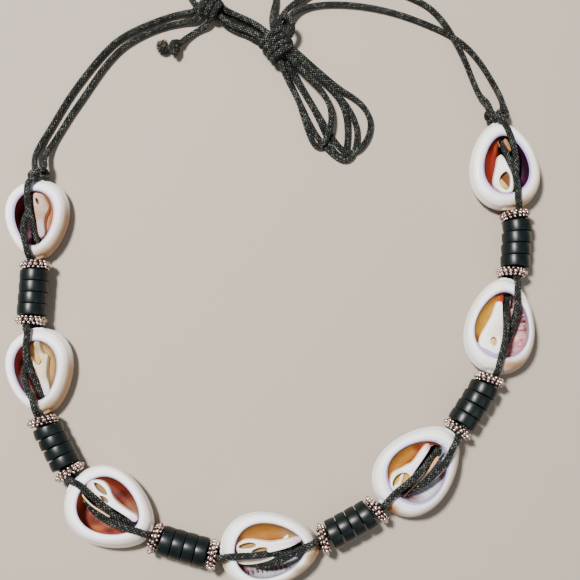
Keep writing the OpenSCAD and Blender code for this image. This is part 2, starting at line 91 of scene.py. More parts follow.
# ------------------------------------------------------------------ camera
cam = bpy.data.cameras.new("camera")
cam.sensor_width = 36.0
cam.angle = 2 * math.atan(290.0 / LENS)
cam.clip_start, cam.clip_end = 0.01, 10.0
camera = bpy.data.objects.new("camera", cam)
bpy.context.scene.collection.objects.link(camera)
camera.location = ((EYE[0] - MID[0]) / 1000, (EYE[1] - MID[1]) / 1000, EYE[2] / 1000)
camera.rotation_euler = (math.atan2(-EYE[1], EYE[2]), 0, 0)
bpy.context.scene.camera = camera


# ------------------------------------------------------------------ materials
def material(name):
    m = bpy.data.materials.new(name)
    m.use_nodes = True
    nt = m.node_tree
    nt.nodes.clear()
    out = nt.nodes.new("ShaderNodeOutputMaterial")
    bsdf = nt.nodes.new("ShaderNodeBsdfPrincipled")
    nt.links.new(bsdf.outputs[0], out.inputs[0])
    return m, nt, bsdf


def node(nt, kind, **values):
    n = nt.nodes.new(kind)
    for k, v in values.items():
        setattr(n, k, v)
    return n


def math_node(nt, op, a, b=None):
    n = nt.nodes.new("ShaderNodeMath")
    n.operation = op
    for i, v in enumerate((a, b)):
        if v is None:
            continue
        if isinstance(v, (int, float)):
            n.inputs[i].default_value = v
        else:
            nt.links.new(v, n.inputs[i])
    return n.outputs[0]


def ramp(nt, fac, stops):
    n = nt.nodes.new("ShaderNodeValToRGB")
    e = n.color_ramp.elements
    while len(e) < len(stops):
        e.new(0.5)
    for s, (p, c) in zip(e, stops):
        s.position, s.color = p, (*c, 1)
    nt.links.new(fac, n.inputs[0])
    return n.outputs[0]


def mix(nt, fac, a, b, how="MIX"):
    n = nt.nodes.new("ShaderNodeMix")
    n.data_type, n.blend_type = "RGBA", how
    for i, v in ((0, fac), (6, a), (7, b)):
        if isinstance(v, (int, float)):
            n.inputs[i].default_value = v
        elif isinstance(v, tuple):
            n.inputs[i].default_value = (*v, 1)
        else:
            nt.links.new(v, n.inputs[i])
    return n.outputs[2]


def noise(nt, vec, scale, detail=3.0, rough=0.5, four=None):
    n = node(nt, "ShaderNodeTexNoise")
    n.inputs["Scale"].default_value = scale
    n.inputs["Detail"].default_value = detail
    n.inputs["Roughness"].default_value = rough
    nt.links.new(vec, n.inputs["Vector"])
    return n.outputs[0]


def bump(nt, height, bsdf, strength, distance, normal=None):
    n = node(nt, "ShaderNodeBump")
    n.inputs["Strength"].default_value = strength
    n.inputs["Distance"].default_value = distance
    nt.links.new(height, n.inputs["Height"])
    if normal is not None:
        nt.links.new(normal, n.inputs["Normal"])
    nt.links.new(n.outputs[0], bsdf.inputs["Normal"])
    return n.outputs[0]


def object_place(nt):
    return node(nt, "ShaderNodeTexCoord").outputs["Object"]


BRAID_M, BRAID_P = 6, 0.95  # strands each way round the cord, and mm along it per strand


def cord_material():
    m, nt, b = material("waxed_cord")
    uv = node(nt, "ShaderNodeUVMap", uv_map="UVMap").outputs[0]
    sep = node(nt, "ShaderNodeSeparateXYZ")
    nt.links.new(uv, sep.inputs[0])
    u = math_node(nt, "MULTIPLY", sep.outputs[0], float(BRAID_M))
    v = math_node(nt, "DIVIDE", sep.outputs[1], BRAID_P)
    a, c = math_node(nt, "ADD", u, v), math_node(nt, "SUBTRACT", u, v)

    def cell(x):
        f = math_node(nt, "SUBTRACT", math_node(nt, "FRACT", x), 0.5)
        return math_node(nt, "SUBTRACT", 1.0, math_node(nt, "MULTIPLY", math_node(nt, "MULTIPLY", f, f), 4.0))

    ha, hc = cell(a), cell(c)
    par = math_node(nt, "MULTIPLY", math_node(nt, "FRACT", math_node(nt, "MULTIPLY", math_node(
        nt, "ADD", math_node(nt, "FLOOR", a), math_node(nt, "FLOOR", c)), 0.5)), 2.0)
    one = math_node(nt, "MULTIPLY", ha, math_node(nt, "ADD", math_node(nt, "MULTIPLY", hc, 0.5), 0.5))
    two = math_node(nt, "MULTIPLY", hc, math_node(nt, "ADD", math_node(nt, "MULTIPLY", ha, 0.5), 0.5))
    high = math_node(nt, "ADD", math_node(nt, "MULTIPLY", one, math_node(nt, "SUBTRACT", 1.0, par)),
                     math_node(nt, "MULTIPLY", two, par))
    cellid = node(nt, "ShaderNodeCombineXYZ")
    nt.links.new(math_node(nt, "FLOOR", a), cellid.inputs[0])
    nt.links.new(math_node(nt, "FLOOR", c), cellid.inputs[1])
    each = node(nt, "ShaderNodeTexWhiteNoise", noise_dimensions="2D")
    nt.links.new(cellid.outputs[0], each.inputs["Vector"])
    place = object_place(nt)
    speck = noise(nt, place, 2600.0, 2.0, 0.6)
    shine_patch = noise(nt, place, 300.0, 3.0, 0.6)
    # The thread tops are painted lighter grey, a painted sheen of the wax that is stronger in patches and specks, and
    # the gaps between the threads stay near black as painted shade; the tone of each thread also differs at random.
    ridge = math_node(nt, "MINIMUM", math_node(nt, "MULTIPLY", high, 1.3), 1.0)
    thread_tone_and_sheen = math_node(nt, "MULTIPLY", ridge, math_node(nt, "ADD", math_node(nt, "ADD", math_node(nt, "MULTIPLY", each.outputs["Value"], 0.36), 0.10), math_node(
        nt, "MULTIPLY", math_node(nt, "ADD", shine_patch, math_node(nt, "MULTIPLY", speck, 0.6)), 0.5)))
    colour = ramp(nt, thread_tone_and_sheen, [(0.0, (0.0008, 0.0009, 0.0009)), (0.42, (0.0022, 0.0026, 0.0024)), (0.58, (0.008, 0.0095, 0.008)),
                              (0.72, (0.030, 0.034, 0.029)), (0.90, (0.125, 0.137, 0.12))])
    nt.links.new(colour, b.inputs["Base Color"])
    rough = ramp(nt, speck, [(0.3, (0.40,) * 3), (0.7, (0.62,) * 3)])
    nt.links.new(rough, b.inputs["Roughness"])
    b.inputs["Specular IOR Level"].default_value = 0.26
    bump(nt, math_node(nt, "ADD", high, math_node(nt, "MULTIPLY", speck, 0.35)), b, 1.0, 0.00024)
    return m


def shell_material():
    m, nt, b = material("cowrie_shell")
    place = object_place(nt)
    col = node(nt, "ShaderNodeVertexColor", layer_name="tint").outputs[0]
    cloud = noise(nt, place, 160.0, 4.0, 0.6)
    tone = ramp(nt, cloud, [(0.3, (0.93, 0.92, 0.91)), (0.7, (1.0, 1.0, 1.0))])
    nt.links.new(mix(nt, 1.0, col, tone, "MULTIPLY"), b.inputs["Base Color"])
    b.inputs["Roughness"].default_value = 0.27
    bright = node(nt, "ShaderNodeSeparateColor")
    nt.links.new(col, bright.inputs[0])
    nt.links.new(ramp(nt, bright.outputs[1], [(0.05, (0.0,) * 3), (0.6, (0.32,) * 3)]), b.inputs["Coat Weight"])
    b.inputs["Coat Roughness"].default_value = 0.13
    b.inputs["Subsurface Weight"].default_value = 0.2
    b.inputs["Subsurface Radius"].default_value = (1.0, 0.7, 0.5)
    b.inputs["Subsurface Scale"].default_value = 0.0012
    pits = noise(nt, place, 900.0, 2.0, 0.5)
    bump(nt, math_node(nt, "ADD", math_node(nt, "MULTIPLY", cloud, 0.8), math_node(nt, "MULTIPLY", pits, 0.2)),
         b, 0.25, 0.0002)
    return m


def hollow_material():
    """The unpolished inside of the shell, under the cut rim."""
    m, nt, b = material("cowrie_hollow")
    place = object_place(nt)
    col = node(nt, "ShaderNodeVertexColor", layer_name="tint").outputs[0]
    cloud = noise(nt, place, 380.0, 4.0, 0.65)
    tone = ramp(nt, cloud, [(0.3, (0.78, 0.76, 0.74)), (0.68, (1.0, 1.0, 1.0))])
    nt.links.new(mix(nt, 1.0, col, tone, "MULTIPLY"), b.inputs["Base Color"])
    b.inputs["Roughness"].default_value = 0.5
    b.inputs["Specular IOR Level"].default_value = 0.18
    b.inputs["Subsurface Weight"].default_value = 0.3
    b.inputs["Subsurface Radius"].default_value = (1.0, 0.6, 0.35)
    b.inputs["Subsurface Scale"].default_value = 0.0022
    bump(nt, cloud, b, 0.3, 0.0002)
    return m


def cut_material():
    """The ground edges: the rim's flat band and the tops of the inner walls."""
    m, nt, b = material("cowrie_cut")
    place = object_place(nt)
    col = node(nt, "ShaderNodeVertexColor", layer_name="tint").outputs[0]
    cloud = noise(nt, place, 260.0, 4.0, 0.6)
    tone = ramp(nt, cloud, [(0.3, (0.93, 0.925, 0.92)), (0.65, (1.0, 1.0, 1.0))])
    nt.links.new(mix(nt, 1.0, col, tone, "MULTIPLY"), b.inputs["Base Color"])
    b.inputs["Roughness"].default_value = 0.5
    b.inputs["Specular IOR Level"].default_value = 0.22
    b.inputs["Subsurface Weight"].default_value = 0.2
    b.inputs["Subsurface Radius"].default_value = (1.0, 0.7, 0.5)
    b.inputs["Subsurface Scale"].default_value = 0.0011
    bump(nt, cloud, b, 0.25, 0.00015)
    return m


def disc_material():
    m, nt, b = material("black_disc")
    place = object_place(nt)
    grain = noise(nt, place, 260.0, 4.0, 0.6)
    fine = noise(nt, place, 1800.0, 2.0, 0.5)
    colour = ramp(nt, grain, [(0.3, (0.0012, 0.0028, 0.0030)), (0.6, (0.0026, 0.0055, 0.0058)), (0.8, (0.008, 0.014, 0.0145))])
    nt.links.new(colour, b.inputs["Base Color"])
    nt.links.new(ramp(nt, fine, [(0.3, (0.30,) * 3), (0.75, (0.44,) * 3)]), b.inputs["Roughness"])
    b.inputs["Coat Weight"].default_value = 0.12
    b.inputs["Coat Roughness"].default_value = 0.3
    b.inputs["Specular IOR Level"].default_value = 0.19
    bump(nt, fine, b, 0.15, 0.00008)
    return m


def metal_material(name, light, dark, rough):
    m, nt, b = material(name)
    place = object_place(nt)
    # The metal is lighter and darker in patches, at random.
    metal_patches = noise(nt, place, 560.0, 3.0, 0.6)
    nt.links.new(ramp(nt, metal_patches, [(0.34, dark), (0.56, light)]), b.inputs["Base Color"])
    nt.links.new(ramp(nt, metal_patches, [(0.3, (rough + 0.15,) * 3), (0.7, (rough,) * 3)]), b.inputs["Roughness"])
    b.inputs["Metallic"].default_value = 1.0
    bump(nt, noise(nt, place, 2600.0, 2.0, 0.5), b, 0.2, 0.00006)
    return m


def fibre_material():
    m, nt, b = material("frayed_fibre")
    place = object_place(nt)
    n = noise(nt, place, 1500.0, 2.0, 0.6)
    nt.links.new(ramp(nt, n, [(0.44, (0.004, 0.004, 0.003)), (0.58, (0.035, 0.028, 0.018)), (0.70, (0.26, 0.20, 0.12))]),
                 b.inputs["Base Color"])
    b.inputs["Roughness"].default_value = 0.8
    return m


CORD = cord_material()
SHELL = shell_material()
HOLLOW = hollow_material()
CUT = cut_material()
DISC = disc_material()
GRAIN = metal_material("plated_granules", (0.84, 0.69, 0.63), (0.22, 0.12, 0.10), 0.17)
CORE = metal_material("plated_recess", (0.035, 0.018, 0.014), (0.01, 0.006, 0.005), 0.6)
FIBRE = fibre_material()


# ------------------------------------------------------------------ meshes
def make(name, parts, mats, smooth=True):
    """One object of several (verts in mm, faces, uvs or None, colours or None, material number)."""
    verts, faces, uvs, cols, mat = [], [], [], [], []
    n = 0
    for v, f, uv, col, mi in parts:
        v = np.asarray(v, float)
        verts.append(v / 1000.0)
        faces += [[i + n for i in q] for q in f]
        uvs += uv if uv is not None else [(0.0, 0.0)] * sum(len(q) for q in f)
        cols.append(np.asarray(col, float) if col is not None else np.ones((len(v), 3)))
        mat += mi if isinstance(mi, list) else [mi] * len(f)
        n += len(v)
    me = bpy.data.meshes.new(name)
    me.from_pydata(np.concatenate(verts).tolist(), [], faces)
    layer = me.uv_layers.new(name="UVMap")
    layer.data.foreach_set("uv", np.asarray(uvs, np.float32).ravel())
    attr = me.color_attributes.new("tint", "FLOAT_COLOR", "POINT")
    c = np.concatenate(cols)
    attr.data.foreach_set("color", np.concatenate([c, np.ones((len(c), 1))], 1).astype(np.float32).ravel())
    for m in mats:
        me.materials.append(m)
    me.polygons.foreach_set("material_index", np.asarray(mat, np.int32))
    me.polygons.foreach_set("use_smooth", np.full(len(faces), smooth))
    me.validate()
    me.update()
    ob = bpy.data.objects.new(name, me)
    bpy.context.scene.collection.objects.link(ob)
    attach(ob, "root")
    return ob


def unit(v):
    return v / np.maximum(np.linalg.norm(v, axis=-1, keepdims=True), 1e-12)


def chaikin(p, times, closed=False):
    p = np.asarray(p, float)
    for _ in range(times):
        q = np.roll(p, -1, 0) if closed else p[1:]
        a = p if closed else p[:-1]
        new = np.stack([0.75 * a + 0.25 * q, 0.25 * a + 0.75 * q], 1).reshape(-1, p.shape[1])
        p = new if closed else np.concatenate([p[:1], new, p[-1:]])
    return p


def catmull(points, per=14):
    """A centripetal Catmull-Rom line through the points."""
    p = np.asarray(points, float)
    keep = [0] + [i for i in range(1, len(p)) if np.linalg.norm(p[i] - p[i - 1]) > 1e-6]
    p = p[keep]
    p = np.concatenate([[2 * p[0] - p[1]], p, [2 * p[-1] - p[-2]]])
    out = []
    for i in range(1, len(p) - 2):
        a, b, c, d = p[i - 1], p[i], p[i + 1], p[i + 2]
        t1 = np.linalg.norm(b - a) ** 0.5
        t2 = t1 + np.linalg.norm(c - b) ** 0.5
        t3 = t2 + np.linalg.norm(d - c) ** 0.5
        for t in np.linspace(t1, t2, per, endpoint=False):
            x = (t1 - t) / t1 * a + t / t1 * b
            y = (t2 - t) / (t2 - t1) * b + (t - t1) / (t2 - t1) * c
            z = (t3 - t) / (t3 - t2) * c + (t - t2) / (t3 - t2) * d
            x, y = (t2 - t) / t2 * x + t / t2 * y, (t3 - t) / (t3 - t1) * y + (t - t1) / (t3 - t1) * z
            out.append((t2 - t) / (t2 - t1) * x + (t - t1) / (t2 - t1) * y)
    return np.array(out + [p[-2]])


def spaced(line, step):
    seg = np.linalg.norm(np.diff(line, axis=0), axis=1)
    s = np.concatenate([[0], np.cumsum(seg)])
    n = max(8, int(round(s[-1] / step)))
    at = np.linspace(0, s[-1], n + 1)
    return np.stack([np.interp(at, s, line[:, k]) for k in range(3)], 1)


def braid_height(a, b):
    fa, fb = a - np.floor(a) - 0.5, b - np.floor(b) - 0.5
    par = np.mod(np.floor(a) + np.floor(b), 2)
    ha, hb = 1 - 4 * fa * fa, 1 - 4 * fb * fb
    return (1 - par) * ha * (0.5 + 0.5 * hb) + par * hb * (0.5 + 0.5 * ha)


def tube(line, r, n=None, step=None, relief=0.16, start=0.0):
    """(verts, faces, uvs, colours, material) of a braided cord along a line in mm."""
    n = n or (24 if FINE else 10)
    step = step or (0.19 if FINE else 0.8)
    p = spaced(np.asarray(line, float), step)
    t = unit(np.gradient(p, axis=0))
    side = np.cross([0, 0, 1.0], t[0])
    side = unit(side) if np.linalg.norm(side) > 1e-3 else np.array([1.0, 0, 0])
    sides = []
    for k in range(len(p)):
        side = side - t[k] * np.dot(side, t[k])
        side = side / np.linalg.norm(side)
        sides.append(side)
    sides = np.array(sides)
    ups = np.cross(t, sides)
    s = start + np.concatenate([[0], np.cumsum(np.linalg.norm(np.diff(p, axis=0), axis=1))])
    th = np.arange(n) / n
    h = braid_height(th[None] * BRAID_M + s[:, None] / BRAID_P, th[None] * BRAID_M - s[:, None] / BRAID_P)
    rad = r - relief + relief * h
    c, w = np.cos(2 * np.pi * th), np.sin(2 * np.pi * th)
    v = p[:, None] + rad[..., None] * (c[None, :, None] * sides[:, None] + w[None, :, None] * ups[:, None])
    m = len(p)
    v = v.reshape(-1, 3)
    i, k = np.meshgrid(np.arange(m - 1), np.arange(n), indexing="ij")
    i, k = i.ravel(), k.ravel()
    k1 = (k + 1) % n
    faces = np.stack([i * n + k, i * n + k1, (i + 1) * n + k1, (i + 1) * n + k], 1).tolist()
    uv = np.stack([np.stack([th[k], s[i]], 1), np.stack([th[k] + 1 / n, s[i]], 1),
                   np.stack([th[k] + 1 / n, s[i + 1]], 1), np.stack([th[k], s[i + 1]], 1)], 1).reshape(-1, 2)
    uvs = uv.tolist()
    for ring, flip in ((0, False), (m - 1, True)):
        tip = len(v)
        out = (-1 if ring == 0 else 1) * t[ring] * r * 0.35
        v = np.concatenate([v, [p[ring] + out]])
        for q in range(n):
            a, b = ring * n + q, ring * n + (q + 1) % n
            faces.append([a, tip, b] if not flip else [a, b, tip])
            uvs += [(th[q], s[ring])] * 3
    return v, faces, uvs, None, 0


# ------------------------------------------------------------------ free cords
END_LEFT = (38.5, 169, 4.6, -88, 2, 5.4)
END_RIGHT = (496.8, 113.2, 4.6, 99, 2, 6.4)
HANK_KNOT = (276.5, 45, 4.6, -52, 4, 9)
FAR_KNOT = (211, 6, 3.9, -25, 3, 7.6)
TAIL_KNOT = (174.3, 47.5, 2.4, -172, 2, 4.6)
ROUTES = {
    "neck_cord_left_1": [(34.5, 160, 4), (36, 153, 2.4), (42, 142, 1.1), (51, 128, 1), (63, 107.5, 1),
        (72, 93.5, 1), (83, 78.5, 1), (94.5, 64, 1), (105.5, 51.5, 1), (116, 41.5, 1),
        (128.5, 33.5, 1), (141, 27.5, 1), (155.5, 21.5, 1), (170, 16.5, 1), (184, 13, 1.3), (195.5, 11.5, 2.2)],
    "neck_cord_left_2": [(44, 160, 4), (46.5, 153, 2.4), (54, 142, 1.1), (62, 129.5, 1), (71, 115, 1),
        (81, 101, 1), (91, 86, 1), (101, 71.5, 1), (111, 59, 1), (122.5, 47.5, 1),
        (136.5, 38.5, 1), (153, 30.5, 1), (169, 25.5, 1), (185, 22, 1.3), (197.5, 19.5, 2.2)],
    "neck_cord_right_1": [(502, 101.5, 4.2), (498.5, 93, 2.6), (490.5, 79, 1.1), (481, 64, 1), (471.5, 52, 1),
        (460.5, 42, 1), (446, 33, 1), (428, 25, 1), (409, 17.5, 1), (386, 10.5, 1),
        (362, 6, 1), (338, 4, 1), (317, 5, 1), (300, 8.5, 1.6), (289, 16, 3), (284.5, 25, 4.4)],
    "neck_cord_right_2": [(486.5, 101.5, 4), (480.5, 97, 2.7), (476, 88.5, 1.8), (470.5, 75, 1.6), (465.5, 62, 2.2),
        (460, 50, 3.2), (454, 38.5, 3.2), (446.5, 26, 2.9), (438, 15.5, 1.5), (427.5, 6, 1), (410, -3, 1),
        (386, -11, 1), (357, -15, 1), (328, -12, 1), (304, -3, 1.5), (288, 8, 2.8), (280, 19, 4.4)],
    "top_loop_cord": [(271.5, 22, 4.4), (273, 11, 2.4), (277, -2, 1.05), (272, -15, 1.05), (256, -24, 1.05),
        (234, -26, 1.05), (212, -22, 1.05), (197, -14, 1.05), (190, -5, 1.3), (192, 2, 2.4)],
    "bundle_cord_1": [(225, 9.5, 4.1), (236, 15, 3.8), (249, 20.5, 3.9), (261.5, 27.5, 4.4)],
    "bundle_cord_2": [(222, 18, 4), (233, 26, 3.7), (247, 30, 3.8), (259, 36.5, 4.4)],
    "bundle_cord_3": [(225, 12, 2.1), (236, 18.6, 1.9), (249, 24, 1.9), (259.5, 29, 2.4)],
    "bundle_cord_4": [(221, 21, 2.1), (233, 29.5, 1.8), (247, 34, 1.8), (256, 39.5, 2.4)],
    "tail_cord": [(207, 24.5, 2.2), (200, 29.5, 1.05), (192, 34.5, 1.05), (185, 39, 1.5), (180, 43.5, 2.2), (176, 46, 2.4)],
}


def inside(k, side, up, shares=(-0.9, 0, 0.9)):
    """Places along the inside of a wrap knot, side mm to the right of its direction and up mm above."""
    d = way(k[3])
    return [lay(*k[:3]) + d * k[4] * CORD_R * f + right_of(d) * side + [0, 0, up] for f in shares]


# Each cord whole, with its stretches inside the knots and along the bundle between them
WHOLE = {
    "neck_cord_left_1": ([lay(36, 171, 4.6), lay(34.6, 165.5, 4.6)] + laid(ROUTES["neck_cord_left_1"]) + inside(FAR_KNOT, -0.9, 0.25)
                         + laid(ROUTES["bundle_cord_1"]) + [lay(270, 36, 4.6)], ["neck_cord_left_1", "bundle_cord_1"]),
    "neck_cord_left_2": ([lay(42, 171, 4.4), lay(44, 165.5, 4.4)] + laid(ROUTES["neck_cord_left_2"]) + inside(FAR_KNOT, 0.9, -0.25)
                         + laid(ROUTES["bundle_cord_2"]) + [lay(268, 44, 4.6)], ["neck_cord_left_2", "bundle_cord_2"]),
    "neck_cord_right_1": ([lay(501, 112, 4.6), lay(503, 107, 4.4)] + laid(ROUTES["neck_cord_right_1"]) + [lay(281, 34, 4.4), lay(273, 35, 3.8)]
                          + laid(ROUTES["bundle_cord_3"])[::-1] + inside(FAR_KNOT, -0.3, -1.0)[::-1], ["neck_cord_right_1", "bundle_cord_3"]),
    "neck_cord_right_2": ([lay(492, 114, 4.6), lay(489.5, 107.5, 4.4)] + laid(ROUTES["neck_cord_right_2"]) + [lay(277, 30, 4.4), lay(271, 40, 3.4)]
                          + laid(ROUTES["bundle_cord_4"])[::-1] + inside(FAR_KNOT, 0.5, -1.1)[::-1], ["neck_cord_right_2", "bundle_cord_4"]),
    "top_loop_cord": ([lay(274, 34, 4.6)] + laid(ROUTES["top_loop_cord"]) + [lay(199, 6, 3.4), lay(207, 11, 3.6), lay(210, 17, 3.0)]
                      + laid(ROUTES["tail_cord"]), ["top_loop_cord", "tail_cord"])}
lines = {k: chaikin(v[0], 3) for k, v in WHOLE.items()}
cords = {}
for name, line in lines.items():
    cords[name] = make(name + "_braid", [tube(line, NECK_R, start=7.3 * len(cords))], [CORD])
    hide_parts(*WHOLE[name][1])


def coil(k, r, turns, start, ends=True, lead=0.45, swell=0.0):
    """The middle line of a wrap knot's turns: k is its table row, r the radius of that line."""
    c, d = lay(*k[:3]), way(k[3])
    s, u = right_of(d), np.array([0, 0, 1.0])
    n = int(26 * turns)
    pts = []
    for i in range(n + 1):
        f = i / n
        a = math.radians(start + 360 * turns * f)
        q = r
        if ends:  # the ends go in under the other turns
            q = r * (1 - 0.55 * max(0, (lead - f * turns) / lead) ** 2 - 0.55 * max(0, (lead - (1 - f) * turns) / lead) ** 2)
        q *= 1 + swell * math.sin(math.pi * f)
        pts.append(c + d * ((f - 0.5) * turns * CORD_R * 1.9 * 0.98) + q * (math.cos(a) * s + math.sin(a) * u))
    return np.array(pts)


def wrap(k, turns, start, core=0.6, extra=(), r=CORD_R):
    line = coil(k, k[5] / 2 - r, turns, start)
    c, d = lay(*k[:3]), way(k[3])
    half = (k[4] - 1) * 0.95 * CORD_R + 0.5
    inner = np.array([c - d * half, c, c + d * half])
    parts = [tube(line, r)]
    if core:
        parts.append(tube(inner, k[5] / 2 - 2 * r + core))
    return parts + [tube(catmull(e), r) for e in extra]


END_LEFT_TURNS = [
    [(34.6, 162, 4.4), (34.6, 167, 5.4), (37, 172.5, 6.2), (41.5, 176.5, 5.6), (45.5, 177.5, 4.3), (47, 174, 3.0), (43, 170.5, 2.2),
     (36.5, 170.5, 2.2), (31.5, 173, 3.2), (32.5, 177.5, 4.6), (36, 179, 5.2)],
    [(44.2, 161.5, 4.3), (44.6, 165.5, 5.0), (41, 169.4, 6.6), (35.4, 171.6, 6.9), (30.8, 174, 5.2), (31.4, 177.4, 3.2), (36.5, 179, 2.4),
     (42.5, 178, 2.8), (46.4, 174, 3.6), (44.4, 170.6, 4.4), (40, 172, 4.6)]]
END_RIGHT_TURNS = [
    [(502.4, 103.5, 4.3), (505, 109.5, 5.0), (505.8, 114.5, 5.4), (502.5, 117, 6.0), (496.5, 115.5, 6.4), (491, 112.4, 6.0), (487, 114, 4.4),
     (487.4, 118.5, 3.0), (492, 120.6, 3.0), (497.5, 118, 3.8), (500, 114, 4.4)],
    [(487.3, 103.5, 4.2), (488, 108.5, 5.0), (490.4, 114.5, 6.2), (493.5, 119.4, 5.8), (497.5, 120, 4.2), (502, 118, 3.0), (506, 116, 3.0),
     (506.4, 112.6, 4.2), (503, 111, 5.4), (498.5, 112.4, 6.2), (495.5, 117, 5.6)]]
end_left = make("end_knot_left_turns", [tube(catmull(laid(e)), 0.88, start=j) for j, e in enumerate(END_LEFT_TURNS)], [CORD])
end_right = make("end_knot_right_turns", [tube(catmull(laid(e)), 0.85, start=j) for j, e in enumerate(END_RIGHT_TURNS)], [CORD])
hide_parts("end_knot_left")
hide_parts("end_knot_right")
bend = laid([(283, 31, 5.2), (279, 23, 6.2), (281, 17.5, 7), (287, 17.5, 7), (291.5, 24, 6.4), (291.5, 32, 5.6), (287, 39, 5)])
hank_knot = make("slide_knot_hank_wraps", wrap(HANK_KNOT, 4, 160, 1.0, [bend]), [CORD])
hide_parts("slide_knot_hank")
far_knot = make("slide_knot_far_wraps", wrap(FAR_KNOT, 3, 160, 0.9), [CORD])
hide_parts("slide_knot_far")


def tuft(c, r, count):
    """A cord's cut end, opened into a ball of short fibres."""
    n, m = 18, 12
    verts, faces = [c + np.array([0, 0, r])], []
    for i in range(1, m):
        for k in range(n):
            a, b = math.pi * i / m, 2 * math.pi * k / n
            q = r * (0.94 + 0.12 * rng.random())
            verts.append(c + q * np.array([math.sin(a) * math.cos(b), math.sin(a) * math.sin(b), math.cos(a)]))
    verts.append(c - np.array([0, 0, r]))
    last = 1 + (m - 1) * n
    for k in range(n):
        faces += [[0, 1 + k, 1 + (k + 1) % n], [last, last - n + (k + 1) % n, last - n + k]]
        faces += [[1 + i * n + k, 1 + (i + 1) * n + k, 1 + (i + 1) * n + (k + 1) % n, 1 + i * n + (k + 1) % n] for i in range(m - 2)]
    parts = [(np.array(verts), faces, None, None, 1)]
    for _ in range(count):
        o = np.array([rng.uniform(-1, 0.5), rng.uniform(-0.9, 1), rng.uniform(-0.5, 1)])
        o = o / np.linalg.norm(o)
        p0 = c + o * r * 0.8
        reach = rng.uniform(0.25, 0.6) + 0.5 * max(0.0, o[1]) * rng.random()
        p1 = c + o * (r + reach * 0.5)
        p2 = p1 + unit(o + np.array([rng.uniform(-1, 0.6), rng.uniform(-0.4, 1), rng.uniform(-0.6, 0.6)])) * reach
        for p in (p0, p1, p2):
            p[2] = max(p[2], 0.3)
        v, f, uv, _, _ = tube(catmull([p0, p1, p2], 4), 0.085, n=4, step=0.3, relief=0.0)
        parts.append((v, f, uv, None, 1))
    return parts


TAIL_TURNS = [(181, 42.6, 2.4), (177.4, 42.0, 3.6), (173.6, 42.4, 4.3), (171.8, 46.5, 4.4), (173.2, 51.6, 3.9), (175.6, 53.4, 2.6), (177.2, 51, 1.3),
              (176.4, 46.5, 1.0), (174.6, 43, 1.5), (172.8, 42.8, 2.6), (172.6, 47.4, 2.9), (170.6, 48.6, 2.3), (168, 48.2, 1.9)]
end = lay(163.4, 47.8, 1.85)
tail_knot = make("tail_knot_turns", [tube(catmull(laid(TAIL_TURNS)), 0.86), tube(catmull(laid([(174.4, 43.2, 2.5), (174.6, 48, 2.7), (174.8, 52.6, 2.5)])), 1.55)]
                 + [tube(laid([(170.5, 47.8, 2.0), (164.5, 47.6, 1.8)]), 0.9)] + tuft(end, 1.32, 380 if FINE else 30), [CORD, FIBRE])
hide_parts("tail_cord")

LOOPS = {
    "a": [(277, 51, 5.2), (280, 60, 4.9), (285, 75, 3.2), (292, 88, 1.9), (299, 102, 1.2), (303, 115, 1.05), (307, 128, 1.05), (311, 139, 1.1),
          (315, 145.5, 1.3), (320, 146.5, 1.9), (325, 141, 2.8), (330, 130, 3.1), (331.5, 119, 3.1), (330.5, 107, 3.1),
          (325.5, 96, 3.3), (317, 85, 3.8), (304, 72, 4.5), (291, 59, 5.2), (283, 49, 5.8)],
    "b": [(279, 51, 4.2), (284, 59, 3.4), (296, 80, 2.6), (305, 95, 1.9), (313, 108, 1.3), (319, 120, 1.05), (324, 131, 1.05), (329, 143, 1.1),
          (333, 150, 1.6), (339, 156.5, 1.9), (343, 157, 1.7), (346, 150, 1.3), (347.5, 140, 1.2), (347.5, 128, 1.4),
          (346, 115, 2.6), (341.5, 103, 3.1), (334.5, 92, 3.3), (324.5, 81.5, 3.5), (313, 71.5, 4), (301, 61, 4.6), (293, 54, 5), (284, 46, 5.2)],
    "c": [(276, 53, 3.4), (281, 62, 2.2), (289, 80, 1.2), (300, 104, 1.05), (311, 127, 1.05), (320, 141, 1.05), (330, 152, 1.05),
          (340, 159.5, 1.05), (347, 160.5, 1.05), (352.5, 156, 1.05), (356.5, 145, 1.05), (357.5, 132, 1.05),
          (354.5, 120, 1.05), (348.5, 108, 1.1), (338, 95, 1.3), (323, 80, 1.8), (307, 65.5, 2.6), (296, 55, 3.2), (286, 46, 3.8)],
    "d": [(281, 51, 3.0), (288, 61, 1.6), (300, 84, 1.05), (313, 106, 1.05), (325, 126, 1.05), (335, 142, 1.05), (343, 151, 1.05),
          (351, 153.5, 1.05), (360, 149.5, 1.05), (367, 140, 1.05), (370.5, 130, 1.05), (370.5, 120, 1.05),
          (366, 110, 1.05), (359, 102, 1.05), (350, 95.5, 1.3), (340, 89.5, 1.9), (326, 78, 2.6), (310, 64, 3), (299, 54, 3.4), (288, 45, 4.2)],
}
loops = {k: chaikin(laid(v), 3) for k, v in LOOPS.items()}
for j, (k, line) in enumerate(loops.items()):
    make(f"hank_loop_{k}", [tube(line, NECK_R, start=3.1 * j)], [CORD])
    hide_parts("hank")


